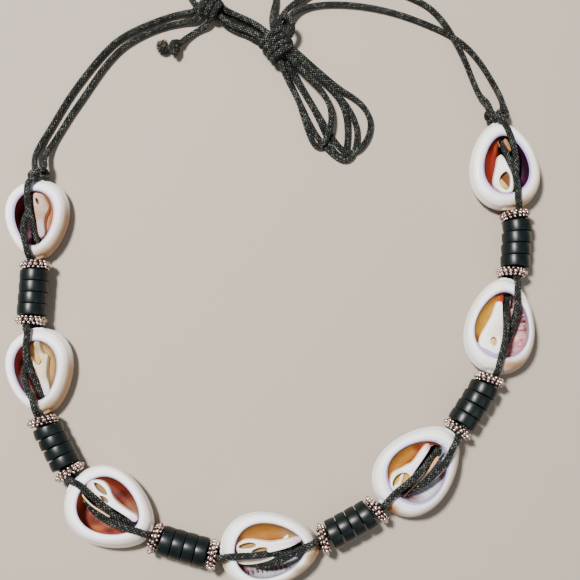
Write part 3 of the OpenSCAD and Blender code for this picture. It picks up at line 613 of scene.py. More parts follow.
# ------------------------------------------------------------------ shells
# narrow end right, down, wide end right, down, width, height, rim's shift along and
# across, opening's share of width and length
SHELLS = [
    (38.5, 260, 39, 180, 17.7, 7, 0.3, -0.4, 0.62, 0.67),
    (45.5, 414.5, 38.5, 328.5, 18, 7.2, -0.1, -0.7, 0.65, 0.68),
    (151.5, 534, 71, 485.5, 20.7, 8, -0.3, 1.1, 0.70, 0.68),
    (318.5, 546, 220, 552.5, 20, 7.8, 0.3, 0.4, 0.71, 0.70),
    (452.3, 432, 383.5, 505.6, 20.4, 7.8, -0.3, 0.1, 0.73, 0.64),
    (506, 279, 493, 374.5, 19.5, 7.6, 0, 0.2, 0.76, 0.67),
    (497.5, 123, 508.5, 211, 19.9, 7.4, -0.4, 0.1, 0.64, 0.64)]
EGG, SLIT_W, NOTCH_W, NOTCH_H, DROP = 0.2, 2.4, 3.8, 4.75, 0.3
FULLNESS = max(math.sin(math.radians(q)) * (1 - EGG * math.cos(math.radians(q))) for q in range(60, 121, 2))


class Shell:
    def __init__(self, i):
        s = SHELLS[i]
        self.i = i
        self.narrow, self.wide = lay(s[0], s[1], 3), lay(s[2], s[3], 3)
        self.mid = flat((self.narrow + self.wide) / 2)
        d = self.narrow - self.wide
        self.long = float(np.linalg.norm(d))
        self.x = flat(d) / self.long
        self.y = -right_of(self.x)
        self.width, self.high = s[4], s[5]
        self.off = (s[6], s[7])
        self.open_w, self.open_l = s[8], s[9]

    def out(self, u, v, z):
        """Row-frame place of the shell's own u, v, z."""
        return self.mid + self.x * u + self.y * v + np.array([0, 0, z])

    def own(self, p):
        q = np.asarray(p, float) - self.mid
        return float(q @ self.x), float(q @ self.y), float(q[2])


shells = [Shell(i) for i in range(7)]

# How wide the lavender lines of each shell's rim are
WIDE = [1.6, 1.5, 0.8, 0.85, 1.7, 1.3, 1.45]
CREAM, WHITE = (0.90, 0.86, 0.80), (0.93, 0.925, 0.92)
LILAC = (0.36, 0.28, 0.52)
# Colours of each shell: hollow to the left of its long axis and to the right of it,
# their deep parts, the left hollow near the narrow end, the inner walls' cut, the
# chambers, the flank turned away from the light and how strong that is; then how
# strong the rim's line and the teeth of the two sides are. The flank colour is the
# shell's own tan together with painted shade on the side turned away from the light.
HUES = [
    dict(left=(0.80, 0.40, 0.18), right=(0.20, 0.02, 0.03), floor_l=(0.72, 0.30, 0.14), floor_r=(0.03, 0.008, 0.012), tip=(0.45, 0.30, 0.34),
         cut=(0.42, 0.31, 0.25), room=(0.26, 0.11, 0.04), flank_tan_and_shade=(0.34, 0.16, 0.045), away=1.0, line=0.9, teeth=(0.1, 0.1)),
    dict(left=(0.90, 0.64, 0.30), right=(0.62, 0.09, 0.09), floor_l=(0.84, 0.56, 0.26), floor_r=(0.30, 0.05, 0.06), tip=(0.78, 0.48, 0.38),
         cut=(0.62, 0.54, 0.42), room=(0.60, 0.38, 0.14), flank_tan_and_shade=(0.42, 0.23, 0.085), away=1.0, line=0.9, teeth=(0.1, 0.1)),
    dict(left=(0.48, 0.11, 0.04), right=(0.33, 0.06, 0.024), floor_l=(0.36, 0.07, 0.022), floor_r=(0.22, 0.04, 0.02), tip=(0.80, 0.50, 0.40),
         cut=(0.93, 0.90, 0.90), room=(0.20, 0.10, 0.03), flank_tan_and_shade=(0.62, 0.50, 0.38), away=0.6, line=0.9, teeth=(0.1, 0.2)),
    dict(left=(0.82, 0.44, 0.12), right=(0.34, 0.35, 0.39), floor_l=(0.74, 0.34, 0.09), floor_r=(0.40, 0.41, 0.45), tip=(0.76, 0.60, 0.44),
         cut=(0.92, 0.87, 0.82), room=(0.26, 0.15, 0.035), flank_tan_and_shade=(0.30, 0.14, 0.04), away=1.0, line=0.9, teeth=(0.1, 1.0)),
    dict(left=(0.88, 0.48, 0.10), right=(0.50, 0.50, 0.61), floor_l=(0.84, 0.42, 0.08), floor_r=(0.56, 0.57, 0.66), tip=(0.76, 0.28, 0.14),
         cut=(0.90, 0.88, 0.86), room=(0.40, 0.25, 0.05), flank_tan_and_shade=(0.24, 0.12, 0.04), away=1.0, line=1.0, teeth=(0.05, 1.0)),
    dict(left=(0.92, 0.60, 0.12), right=(0.46, 0.28, 0.31), floor_l=(0.90, 0.54, 0.09), floor_r=(0.54, 0.31, 0.32), tip=(0.90, 0.50, 0.10),
         cut=(0.93, 0.91, 0.87), room=(0.50, 0.31, 0.07), flank_tan_and_shade=(0.30, 0.13, 0.04), away=1.0, line=1.0, teeth=(0.05, 1.0)),
    dict(left=(0.46, 0.065, 0.016), right=(0.03, 0.005, 0.022), floor_l=(0.40, 0.05, 0.01), floor_r=(0.01, 0.002, 0.008), tip=(0.40, 0.05, 0.012),
         cut=(0.93, 0.91, 0.89), room=(0.12, 0.032, 0.004), flank_tan_and_shade=(0.38, 0.20, 0.07), away=1.0, line=1.2, teeth=(0.05, 0.5)),
]


# Patches of another colour as seen in the hollows: right, down, half width, half
# height, colour, strength. The near-black ones are painted shadows, where the strands
# shade the hollow.
PATCHES_AND_STRAND_SHADOWS = [
    [(20.5, 203, 6, 8, (0.36, 0.035, 0.05), 0.8), (21, 231, 4, 7, (0.40, 0.10, 0.10), 0.7), (30.5, 236, 3, 5, (0.16, 0.07, 0.12), 0.9), (35, 228, 4, 10, (0.002, 0.002, 0.002), 1.0)],
    [(20.5, 350, 5, 7, (0.78, 0.08, 0.08), 0.9), (24, 366, 3, 8, (0.02, 0.004, 0.004), 0.9), (21, 381, 5, 7, (0.62, 0.40, 0.44), 0.9),
     (34.5, 391, 4.5, 8, (0.50, 0.33, 0.28), 0.9), (51.5, 381, 4, 5, (0.62, 0.38, 0.28), 0.7)],
    [(122, 494.5, 5, 4, (0.20, 0.014, 0.004), 0.9), (130.5, 508, 7, 6, (0.64, 0.32, 0.20), 0.9), (80, 500, 6, 8, (0.66, 0.13, 0.05), 0.9),
     (97, 519, 9, 7, (0.07, 0.008, 0.004), 0.95), (96, 528, 8, 3, (0.34, 0.10, 0.02), 0.8), (110, 530, 6, 3, (0.06, 0.01, 0.004), 0.9),
     (134.5, 523.5, 4, 3, (0.004, 0.002, 0.002), 1.0)],
    [(292, 533, 8, 5, (0.74, 0.50, 0.26), 0.8), (238, 541, 5, 6, (0.44, 0.18, 0.05), 0.7), (240, 568, 8, 7, (0.16, 0.03, 0.02), 0.95),
     (251, 571, 6, 3, (0.20, 0.06, 0.08), 0.7), (272, 568.5, 10, 1.6, (0.34, 0.16, 0.14), 0.6), (299, 544, 6, 2.4, (0.05, 0.008, 0.03), 1.0)],
    [(420, 448, 7, 4, (0.46, 0.045, 0.012), 0.85), (413, 497.5, 9, 3.5, (0.20, 0.055, 0.05), 0.85), (443, 475, 4, 6, (0.32, 0.09, 0.12), 0.85),
     (436, 482, 5, 4, (0.72, 0.70, 0.72), 0.6), (439.5, 451.5, 4, 4.5, (0.002, 0.002, 0.002), 1.0)],
    [(501, 295.5, 4.2, 5, (0.74, 0.10, 0.02), 0.95), (477, 340, 3, 6, (0.36, 0.10, 0.03), 0.7), (523.8, 322.3, 2.6, 2, (0.10, 0.015, 0.025), 0.9),
     (516.5, 330.4, 1.8, 1.6, (0.18, 0.02, 0.05), 0.8), (525, 329.5, 1.8, 3.4, (0.14, 0.02, 0.025), 0.85), (519, 344, 6, 4.5, (0.46, 0.11, 0.12), 0.8),
     (515.4, 338.6, 3, 1.5, (0.78, 0.62, 0.56), 0.7), (508.5, 298, 5, 10, (0.002, 0.002, 0.002), 1.0), (523.6, 299, 1.8, 4.5, (0.72, 0.44, 0.05), 0.9)],
    [(490.4, 147, 4, 5, (0.30, 0.02, 0.008), 0.7), (496.5, 149, 3, 6, (0.62, 0.16, 0.04), 0.8), (523, 186, 5, 9, (0.05, 0.003, 0.034), 0.9),
     (520, 146, 5, 7, (0.06, 0.012, 0.04), 0.9), (501.8, 147, 4.4, 9, (0.002, 0.002, 0.002), 1.0), (517, 165, 4, 14, (0.002, 0.002, 0.003), 0.95)],
]
WALL_BLOTS = [
    [(46, 200, 6, 10, (0.20, 0.095, 0.038), 0.95), (44, 215, 3, 8, (0.24, 0.12, 0.05), 0.8), (35, 216, 3, 9, (0.26, 0.14, 0.09), 0.85), (41, 230, 5, 9, (0.36, 0.27, 0.34), 0.8)],
    [(37, 347, 7, 9, (0.26, 0.17, 0.075), 0.9), (45, 361, 6, 7, (0.46, 0.38, 0.24), 0.85), (47.5, 374, 2.5, 7, (0.24, 0.14, 0.09), 0.85), (45, 390, 5, 8, (0.56, 0.52, 0.68), 0.8)],
    [(134, 520, 8, 5, (0.66, 0.48, 0.64), 0.8), (91, 486, 5, 6, (0.30, 0.20, 0.09), 0.85), (104, 498, 6, 4, (0.50, 0.40, 0.28), 0.7)],
    [(298, 541, 9, 4, (0.34, 0.16, 0.34), 0.85), (243, 548.5, 10, 7, (0.44, 0.32, 0.16), 0.75)],
    [(430, 446.5, 4.5, 5.5, (0.44, 0.14, 0.16), 0.85), (396, 474, 6, 6, (0.66, 0.54, 0.34), 0.6)],
    [(503.5, 335, 2, 24, (0.50, 0.38, 0.20), 0.7), (501, 301, 4, 3, (0.74, 0.50, 0.36), 0.6)],
    [(513, 188, 3, 6, (0.80, 0.70, 0.44), 0.7), (502, 156, 3.5, 4, (0.55, 0.42, 0.30), 0.7), (496, 186, 2, 8, (0.74, 0.56, 0.34), 0.6)],
]


# Patches on the outside and on the rim, as seen. The dark brown ones, on the lower
# side turned away from the light, are the shell's own tan together with painted shade.
TAN_AND_SHADE_PATCHES = {
    0: [(46, 256, 9, 8, (0.36, 0.19, 0.06), 0.85), (37.5, 246.5, 3.5, 2, (0.74, 0.52, 0.20), 0.6)],
    1: [(53, 409, 10, 9, (0.40, 0.22, 0.09), 0.8), (40, 404, 5, 3, (0.66, 0.50, 0.28), 0.6)],
    3: [(222, 563, 6, 9, (0.44, 0.23, 0.06), 0.95), (314, 557, 10, 7, (0.38, 0.20, 0.06), 0.9), (302, 570, 12, 5, (0.34, 0.20, 0.08), 0.7)],
    4: [(391, 511, 9, 9, (0.40, 0.16, 0.03), 1.0), (401, 515, 8, 3, (0.46, 0.28, 0.12), 0.6), (440, 442, 3, 2, (0.84, 0.72, 0.44), 0.6)],
    5: [(508, 363.5, 7, 4, (0.46, 0.17, 0.045), 0.8), (488.5, 361.5, 5, 3.5, (0.80, 0.72, 0.50), 0.5), (503, 286.5, 3, 2.4, (0.86, 0.78, 0.50), 0.6),
        (521, 369, 15, 10, (0.32, 0.155, 0.05), 1.0)],
    6: [(524, 206, 10, 8, (0.44, 0.26, 0.11), 0.8)],
}


def blotted(col, p, blots):
    x, y = seen(p)
    for bx, by, rx, ry, c, strength in blots:
        w = strength * math.exp(-(((x - bx) / rx) ** 2 + ((y - by) / ry) ** 2) ** 1.5)
        col = col * (1 - w) + np.array(c) * w
    return col


def section(s):
    """(share of half length, of half width, height share, height at the notches, kind)."""
    h, l, w, nh = s.high, s.open_l, s.open_w, NOTCH_H
    rows = [(0.74, 0, 0.05, nh, 0), (0.80, 0.50, 0, nh, 1), (0.93, 0.84, 0.09, nh, 1), (1, 1, 0.40, nh + 0.05, 1),
            (0.955, 0.975, 0.70, max(0.70 * h, nh + 0.3), 1), (0.885, 0.93, 0.90, 0.90 * h, 1), (0.81, 0.86, 1, h, 2),
            (l, w, 1, h, 2), (l * 1.01, w * 1.04, 0.70, max(0.70 * h, nh + 0.3), 3),
            (l * 0.97, w * 0.93, 0.36, nh + 0.1, 3), (l * 0.98, w * 0.55, 0.20, nh + 0.05, 3), (0.72, 0, 0.17, nh, 4)]
    outer = catmull([list(r[:4]) + [0] for r in rows[0:7]], 7 if FINE else 3)
    inner = catmull([list(r[:4]) + [0] for r in rows[7:12]], 8 if FINE else 3)
    return rows, outer, inner


def smoothstep(a, b, x):
    t = np.clip((x - a) / (b - a), 0, 1)
    return t * t * (3 - 2 * t)


def shell_wall(s, hue):
    rows, outer, inner = section(s)
    h = s.high
    a0, b0 = rows[6], rows[7]
    # the cut rim is nearly flat; its inner edge is broken by a narrow slope
    rim = []
    for f, dz in ((0.05, -0.02), (0.12, 0.0), (0.26, 0.03), (0.38, 0.04), (0.46, 0.04), (0.53, 0.03), (0.60, 0.02), (0.66, 0.01), (0.71, 0.0),
                  (0.76, -0.02), (0.81, -0.05), (0.86, -0.08), (0.91, -0.13), (0.955, -0.22), (1.0, -0.36)):
        rim.append([a0[0] * (1 - f) + b0[0] * f, a0[1] * (1 - f) + b0[1] * f, 1 + dz / h, h + dz, 0])
    rim_f = [0.05, 0.12, 0.26, 0.38, 0.46, 0.53, 0.60, 0.66, 0.71, 0.76, 0.81, 0.86, 0.91, 0.955, 1.0]
    lip = [[b0[0] * 1.0, b0[1] * 1.0, 1 - 0.5 / h, h - 0.5, 0]]
    table = np.array([list(r) for r in outer[:-1]] + [[outer[-1][0], outer[-1][1], 1 - 0.10 / h, h - 0.10, 0]]
                     + rim + lip + [[r[0], r[1], r[2] - (0.7 / h if i == 0 else 0), r[3] - (0.7 if i == 0 else 0), 0]
                                    for i, r in enumerate(inner)])
    n_out, n_rim = len(outer), len(rim)
    m = len(table)
    # stations round the shell
    q = 72 if FINE else 14
    st = []
    nw = NOTCH_W / 2
    edge = [0, 0.35, 0.7, 1.05, 1.4, 1.65, nw, nw + 0.12, nw + 0.24, nw + 0.36, nw + 0.45]
    for v in edge:
        st.append(("n", v))
    for k in range(1, q):
        st.append(("s", k / q))
    for v in reversed(edge):
        st.append(("w", v))
    full = [(a, b, 1) for a, b in st] + [(a, b, -1) for a, b in st[-2:0:-1]]
    verts, cols = [], []
    left, rightc = np.array(hue["left"]), np.array(hue["right"])
    fl, fr = np.array(hue["floor_l"]), np.array(hue["floor_r"])
    white, cream, lilac = np.array(WHITE), np.array(CREAM), np.array(LILAC)
    for a_, b_, sgn in full:
        for k in range(m):
            ra, rb, rz, nz, _ = table[k]
            a, b, z0 = s.long / 2 * ra, s.width / 2 / FULLNESS * rb, rz * h
            slit = rb < 0.02
            lim = NOTCH_W / 2 + 0.45
            if a_ in "nw":
                e = 1 if a_ == "n" else -1
                v = sgn * (min(b_, SLIT_W / 2) if slit else b_)
                be = b * (1 - EGG * e)
                u = e * a * (1 if slit or be < 0.1 else math.sqrt(max(0.0, 1 - (v / be) ** 2)))
                if not slit and be < lim + 0.4:  # near the slit rows the width runs out
                    v = sgn * min(b_, max(be * 0.8, SLIT_W / 2))
                    u = e * a * (0.985 if b_ > be * 0.8 else 1)
                wgt = 1 - float(smoothstep(nw, lim, b_))
                z = z0 + (nz - z0) * wgt
            else:
                if slit:
                    th0 = math.radians(10)
                    th1 = math.pi - th0
                else:
                    th0 = math.asin(min(0.9, lim / max(b * (1 - EGG), 1e-3)))
                    th1 = math.pi - math.asin(min(0.9, lim / max(b * (1 + EGG), 1e-3)))
                th = th0 + (th1 - th0) * b_
                u = a * math.cos(th)
                v = sgn * (SLIT_W / 2 if slit else max(b * math.sin(th) * (1 - EGG * math.cos(th)), SLIT_W / 2))
                z = z0
            # teeth along the slit, with grooves between them across the base
            groove, step = 0.0, 0.5 + 0.5 * math.cos(2 * math.pi * (u + 0.12 * v + 0.25 * math.sin(u * 1.7)) / 1.25)
            if a_ == "s":
                fade = float(1 - smoothstep(0.52, 0.72, abs(u) / (s.long / 2)))
                if k < 14:
                    groove = (1 - step) ** 1.4 * math.exp(-((abs(v) - SLIT_W / 2) / 2.3) ** 2) * fade
                    z += 0.30 * groove
                if slit:
                    v += sgn * 0.30 * (0.5 - step ** 0.7) * fade
            lean = max(0.0, z / h - 0.4) / 0.6
            uu, vv = u + s.off[0] * lean, v + s.off[1] * lean
            # teeth across the floor beside the slit, and soft unevenness
            teeth = hue["teeth"][0 if vv > 0 else 1]
            tooth = 0.5 + 0.5 * math.cos(2 * math.pi * (u + 0.12 * v + 0.25 * math.sin(u * 1.7)) / 1.25)
            if a_ == "s" and k >= n_out + n_rim + 1:
                env = math.exp(-((abs(v) - SLIT_W / 2) / 3.0) ** 2) * float(1 - smoothstep(0.6, 0.85, abs(u) / (s.long / 2)))
                z += 0.5 * env * (tooth ** 2 - 0.3) * teeth
            p = s.out(uu, vv, max(z, 0.0))
            verts.append(p)
            # colour
            if k < n_out:
                f = z / h
                o = flat(p - s.mid)
                # The side turned away from the light keeps the flank colour up the wall instead of going white: the
                # shell's own tan together with painted shade.
                shade_side = float(smoothstep(-0.1, 0.8, (o[0] * 0.8 - o[1] * 0.6) / np.linalg.norm(o)))
                g = float(smoothstep(0.15, 0.8, f)) * (1 - shade_side)
                q = shade_side * hue["away"] * (1 - 0.62 * float(smoothstep(0.62, 1.0, f)))
                base = cream * (1 - q) + np.array(hue["flank_tan_and_shade"]) * q
                col = base * (1 - g) + white * g
                col = col * (1 - 0.6 * groove) + np.array((0.22, 0.11, 0.05)) * 0.6 * groove
            elif k < n_out + n_rim:
                f = rim_f[k - n_out]
                o = flat(p - s.mid)
                # On the side turned away from the light the rim's outer part takes some flank colour: the shell's own
                # tan together with painted shade.
                shade_side = float(smoothstep(0.0, 0.9, (o[0] * 0.8 - o[1] * 0.6) / np.linalg.norm(o)))
                w = float(np.interp(1 - (1 - f) / WIDE[s.i], [0.52, 0.60, 0.66, 0.72, 0.77, 0.82, 0.88, 1.0], [0, 0.35, 0.5, 0.2, 0.35, 0.75, 1.0, 1.0])) * min(1.0, hue["line"])
                g = shade_side * hue["away"] * (1 - float(smoothstep(0.0, 0.55, f)))
                col = (white * (1 - g * 0.5) + np.array(hue["flank_tan_and_shade"]) * g * 0.5) * (1 - w) + lilac * w
                if s.i == 5:
                    col = blotted(col, p, [PATCHES_AND_STRAND_SHADOWS[5][-1]])
            else:
                depth = 1 - z / h
                side = smoothstep(-1.2, 1.2, vv)
                tip = float(smoothstep(0.15, 0.55, uu / (s.long / 2)))
                lw = left * (1 - tip) + np.array(hue["tip"]) * tip
                wall = rightc * (1 - side) + lw * side
                floor_ = fr * (1 - side) + (fl * (1 - tip) + np.array(hue["tip"]) * tip) * side
                # Deeper down the colour goes over to the deep parts' colours; where these are near black (shells 1 and
                # 7, right of the axis) that is partly the dark purple inside and partly painted shade.
                g = float(smoothstep(0.35, 0.8, depth))
                col = wall * (1 - g) + floor_ * g
                w = (1 - float(smoothstep(0.07, 0.17, depth))) * min(1.0, hue["line"])
                col = col * (1 - w) + (lilac * 0.7 + white * 0.3) * w
                if a_ == "s":
                    col = col * (1 - teeth * g * 0.3 * (1 - tooth))
                if w < 0.5:
                    col = blotted(col, p, PATCHES_AND_STRAND_SHADOWS[s.i])
            if k < n_out + n_rim and s.i in TAN_AND_SHADE_PATCHES:
                col = blotted(col, p, TAN_AND_SHADE_PATCHES[s.i])
            cols.append(col)
    nst = len(full)
    faces, mat = [], []
    for i in range(nst):
        j = (i + 1) % nst
        for k in range(m):
            l = (k + 1) % m
            faces.append([i * m + k, j * m + k, j * m + l, i * m + l])
            mat.append(1 if k > n_out + n_rim + 2 else 2 if k >= n_out - 1 else 0)
    return np.array(verts), faces, None, np.clip(np.array(cols), 0, 1), mat


# Inner walls as seen, one closed outline each at the rim's height; those marked
# "hole" are the chambers cut through the outline before them
INNER = [
    [("wall", [(33, 192), (40, 193), (44, 195), (47, 199), (49, 204), (49, 208), (47, 212), (45, 216), (44, 221), (44, 227),
               (45, 232), (44, 236), (40, 238), (38, 234), (37, 228), (36, 221), (34.5, 214), (33, 207), (32, 200)]),
     ("hole", [(35, 197.5), (37.4, 198.6), (39.6, 203), (38.2, 204.6), (36, 202.2)])],
    [("wall", [(34, 341), (38.5, 341), (40, 344), (41, 350), (43, 354), (45, 354), (48, 355), (47.5, 360), (46.5, 368), (46.8, 375),
               (48, 381), (50, 390), (48, 396), (44, 396), (42.5, 390), (40, 383), (38, 377), (35.5, 370), (31.5, 363.5),
               (29.5, 357), (31, 356), (34, 361.5), (37.5, 365.5), (40.5, 363.5), (41.3, 361), (38.5, 356.5), (35.3, 350), (33, 345)])],
    [("wall", [(137, 516), (128, 511), (117, 503), (112, 496), (110, 490), (107, 485), (103, 481.5), (97, 480), (91, 480), (88, 482),
               (86, 486), (87.5, 489.5), (92, 494), (97, 496), (99.5, 498), (101, 501), (105.5, 503.8), (112, 508), (120, 513),
               (128, 518), (134, 523), (138, 520)]),
     ("hole", [(93.2, 482), (99.4, 484.2), (104, 488), (106.6, 492.2), (107.2, 495.4), (103.4, 494.4), (98.6, 491.4), (95, 487)]),
     ("hole", [(96.4, 496.6), (101.4, 495.8), (106, 498), (108.2, 500.8), (107.2, 504), (103, 503), (98.6, 500.2)])],
    [("wall", [(301, 537), (290, 539), (280, 541), (272, 542.6), (262, 541.2), (252, 539.6), (245, 540), (240, 542.6), (236.6, 546),
               (236.4, 550), (238, 555), (248, 555.4), (256, 555), (264, 554), (270, 552.8), (280, 550.5), (290, 547.5),
               (298, 543.5), (302, 541)]),
     ("hole", [(238, 547), (242, 544.2), (249.7, 542.4), (255.2, 543.6), (256.4, 546.2), (251.3, 548.2), (246, 548.8), (240.5, 548.9)]),
     ("hole", [(251, 551.8), (255.6, 549), (261.3, 547.4), (266.8, 547.8), (268.2, 550.8), (262, 552.2), (254, 553)])],
    [("wall", [(424, 447), (420, 453), (416, 459), (412, 463.5), (407, 465.5), (403, 468), (398, 470), (393, 473), (391, 478),
               (390, 484), (391, 489), (394.5, 492), (399, 491.4), (404, 488), (409, 482.5), (412, 477), (414.4, 472.2),
               (418.6, 466.4), (423.4, 459.4), (428.6, 451.6), (431.6, 446), (428, 443.6)]),
     ("hole", [(393.6, 480), (396, 476.5), (400, 473.5), (405, 472.8), (409, 474.2), (410.6, 477), (407.6, 481), (402.6, 486),
               (398, 489.4), (393.6, 487.4), (392.6, 484)])],
    [("wall", [(500, 301), (503, 302), (503, 312), (503.5, 320), (504, 335), (502.5, 345), (501, 350.5), (499, 353.6), (495.5, 354),
               (490, 351.4), (485, 348.6), (480, 347), (479.5, 342), (481, 336), (485, 329), (489, 322), (493, 315), (495, 308), (497.5, 302)]),
     ("hole", [(491.4, 337.6), (494, 336.6), (496.8, 338), (497.4, 342), (496, 345.4), (492.6, 345.6), (491, 342)])],
    [("wall", [(500.5, 154), (503, 155), (506, 160), (508.8, 166.4), (510.6, 169.6), (512.6, 175), (513.6, 181), (514, 188),
               (512.4, 192.4), (503, 192.6), (499.6, 190.2), (496, 188.2), (494, 184), (494, 179), (495.5, 172), (497, 165), (498, 158)]),
     ("hole", [(506.6, 170.8), (508.6, 172.6), (510.4, 175.6), (510.6, 181), (510, 188), (506, 190), (501.6, 186.6), (499.4, 181),
               (500.6, 176), (503.4, 172.8)])],
]
# Thin lip of the inner whorl under the strand of shell 3: line as seen
CRESCENT = {2: [(81.6, 493.7), (85.3, 498.9), (91.2, 504.8), (97, 509), (103.7, 513.2), (109.5, 517)]}
# Thin walls that lie deeper in the hollows: outline as seen, height below the rim, colour
LEDGES = {
    1: [([(29.4, 345.5), (30.3, 356), (32, 362.4), (37, 366), (41.4, 361), (38.4, 352.5), (34, 345), (33, 341)], 1.5, (0.56, 0.34, 0.11))],
    3: [([(235, 558.4), (246, 558), (258, 557.6), (268, 556.6), (276, 557.2), (270, 560.4), (262, 562.8), (254, 564.4), (244.5, 565), (238, 563.2),
          (235.4, 561)], 1.6, (0.86, 0.78, 0.64)),
        ([(282.6, 538.8), (285.5, 536.4), (288, 534.6), (289, 537.6), (286, 538.8)], 1.0, (0.88, 0.80, 0.70))],
    4: [([(400.3, 499.4), (408.8, 491.2), (418, 481.6), (425.4, 473.6), (430.4, 466.2), (434.4, 460.2), (438, 456), (439.6, 457.2), (437, 462.6),
          (431.4, 469.8), (425.6, 476.2), (418.4, 483.2), (409.4, 491.8), (401.2, 499.8)], 2.0, (0.56, 0.34, 0.16)),
        ([(401, 473.4), (404.8, 472.8), (402.8, 479), (401, 483.6), (401.4, 489.8), (396, 490), (393, 486.4), (396.6, 484.4), (399.6, 480.6)], 1.3,
         (0.90, 0.80, 0.60))],
    5: [([(497.4, 292.6), (503, 292), (503.8, 297), (503.4, 303.6), (498.6, 304), (496.8, 298)], 1.7, (0.25, 0.032, 0.008)),
        ([(477.6, 341.5), (480.6, 345.4), (485, 348.2), (490, 350.8), (495.5, 353.2), (500.4, 352.6), (501.4, 357.5), (495.5, 359), (489, 357), (482, 352), (476.6, 345.5)],
         0.38, (0.45, 0.36, 0.60)),
        ([(490.6, 337.4), (493.4, 336.4), (494, 341), (493.4, 346), (491.6, 345.6), (490.6, 341)], 1.3, (0.84, 0.70, 0.40))],
    6: [([(500.3, 177.4), (499.2, 181), (500.2, 184.4), (504, 189), (508.8, 189), (509.6, 187.8), (505, 182.4)], 1.3, (0.52, 0.37, 0.13)),
        # Shell 7's tan piece between the strands is its own tan darkened as painted shade, where the strands shade it.
        ([(504, 138.6), (506.6, 138.4), (509, 142.6), (511.4, 148.6), (511.2, 151.4), (509.2, 150), (506.6, 146), (504.4, 142.4)], 1.8,
         (0.27, 0.145, 0.055)),
        ([(497, 141.4), (498.4, 141.2), (500.6, 146.2), (500.1, 147.2), (498.6, 145)], 1.8, (0.30, 0.09, 0.03))],
}


def ease(poly, times=2):
    return chaikin(np.array(poly, float), times, closed=True)


def area2(p):
    return 0.5 * float(np.sum(p[:, 0] * np.roll(p[:, 1], -1) - np.roll(p[:, 0], -1) * p[:, 1]))


def inset(p, d):
    """A closed outline moved inwards by d (to the left of its run, which is anticlockwise)."""
    t = unit(np.roll(p, -1, 0) - np.roll(p, 1, 0))
    nrm = np.stack([-t[:, 1], t[:, 0]], 1)
    return p + nrm * d


def inner_walls(s, hue, items):
    """The inner whorl's walls: a crowned top with eased edges, and sides that go down into the hollow."""
    white = np.array(hue["cut"])
    parts = []
    z_top = s.high - DROP + 0.05
    loops_ = []
    for kind, poly in items:
        p = np.array([lay(x, y, z_top)[:2] for x, y in ease(poly, 2 if FINE else 1)])
        if (area2(p) < 0) == (kind == "wall"):
            p = p[::-1]
        loops_.append((kind, p))
    low = 4.75
    verts, cols, faces = [], [], []
    rings = []
    steps = [(0.36, 0.0, 1.0), (0.22, -0.04, 0.98), (0.10, -0.13, 0.92), (0.0, -0.32, 0.85), (-0.05, -0.7, 0.7), (-0.12, -1.2, 0.55),
             (-0.2, -1.9, 0.38), (-0.25, -2.6, 0.2)]
    for kind, p in loops_:
        room = np.array(hue["room"])
        ring0 = []
        for d, dz, w in steps:
            q = inset(p, d if kind == "wall" else d * 0.6)
            z = max(z_top + dz, z_top - 1.5 if kind == "hole" else low)
            ring = []
            for xy in q:
                u, v, _ = s.own([xy[0], xy[1], 0])
                side = float(smoothstep(-1.0, 1.0, v))
                dark = room if kind == "hole" else np.array(hue["right"]) * (1 - side) + np.array(hue["left"]) * side
                if kind == "hole":
                    w2 = w ** 4
                else:
                    w2 = w
                ring.append(len(verts))
                verts.append([xy[0], xy[1], z])
                cols.append(blotted(white * w2 + dark * (1 - w2), verts[-1], WALL_BLOTS[s.i] if kind == "wall" and dz > -0.5 else []))
            if ring0:
                a, b = ring0[-1], ring
                n = len(a)
                for i in range(n):
                    j = (i + 1) % n
                    faces.append([a[i], b[i], b[j], a[j]])
            ring0.append(ring)
        rings.append(ring0)
    tops = [[Vector(verts[i]) for i in r[0]] for r in rings]
    ids = [i for r in rings for i in r[0]]
    for t in tessellate_polygon(tops):
        f = [ids[i] for i in t]
        a, b, c = (np.array(verts[i]) for i in f)
        if np.cross(b - a, c - a)[2] < 0:
            f = f[::-1]
        faces.append(f)
    for r, (kind, p) in zip(rings, loops_):
        if kind == "hole":  # the chamber's floor
            ring = r[-1]
            c = np.mean([verts[i] for i in ring], 0)
            c[2] = z_top - 1.6
            verts.append(c.tolist())
            cols.append(np.array(hue["room"]))
            m = len(verts) - 1
            for i in range(len(ring)):
                faces.append([ring[i], m, ring[(i + 1) % len(ring)]])
    bottoms = [[Vector(verts[i]) for i in r[-1]] for r, (kind, _) in zip(rings, loops_) if kind == "wall"]
    ids = [i for r, (kind, _) in zip(rings, loops_) if kind == "wall" for i in r[-1]]
    for t in tessellate_polygon(bottoms):
        f = [ids[i] for i in t]
        a, b, c = (np.array(verts[i]) for i in f)
        if np.cross(b - a, c - a)[2] > 0:
            f = f[::-1]
        faces.append(f)
    parts.append((np.array(verts), faces, None, np.clip(np.array(cols), 0, 1), 2))
    return parts


def ledge(s, outline, drop, colour):
    """A thin inner wall seen from its edge: an eased top and a skirt down from it."""
    z_top = s.high - drop
    p = np.array([lay(x, y, z_top)[:2] for x, y in ease(outline, 2 if FINE else 1)])
    if area2(p) < 0:
        p = p[::-1]
    n = len(p)
    verts = [[*q, z_top] for q in inset(p, 0.14)] + [[*q, z_top - 0.12] for q in p] + [[*q, z_top - 1.1] for q in inset(p, -0.05)]
    # The foot of the skirt is painted at 0.4 of the colour: painted shade under the ledge's top.
    cols = [colour] * (2 * n) + [tuple(c * 0.4 for c in colour)] * n
    faces = [[r * n + i, (r + 1) * n + i, (r + 1) * n + (i + 1) % n, r * n + (i + 1) % n] for r in range(2) for i in range(n)]
    for f in tessellate_polygon([[Vector(v) for v in verts[:n]]]):
        a, b, c = (np.array(verts[i]) for i in f)
        faces.append(list(f) if np.cross(b - a, c - a)[2] > 0 else list(f)[::-1])
    return np.array(verts), faces, None, np.array(cols), 1


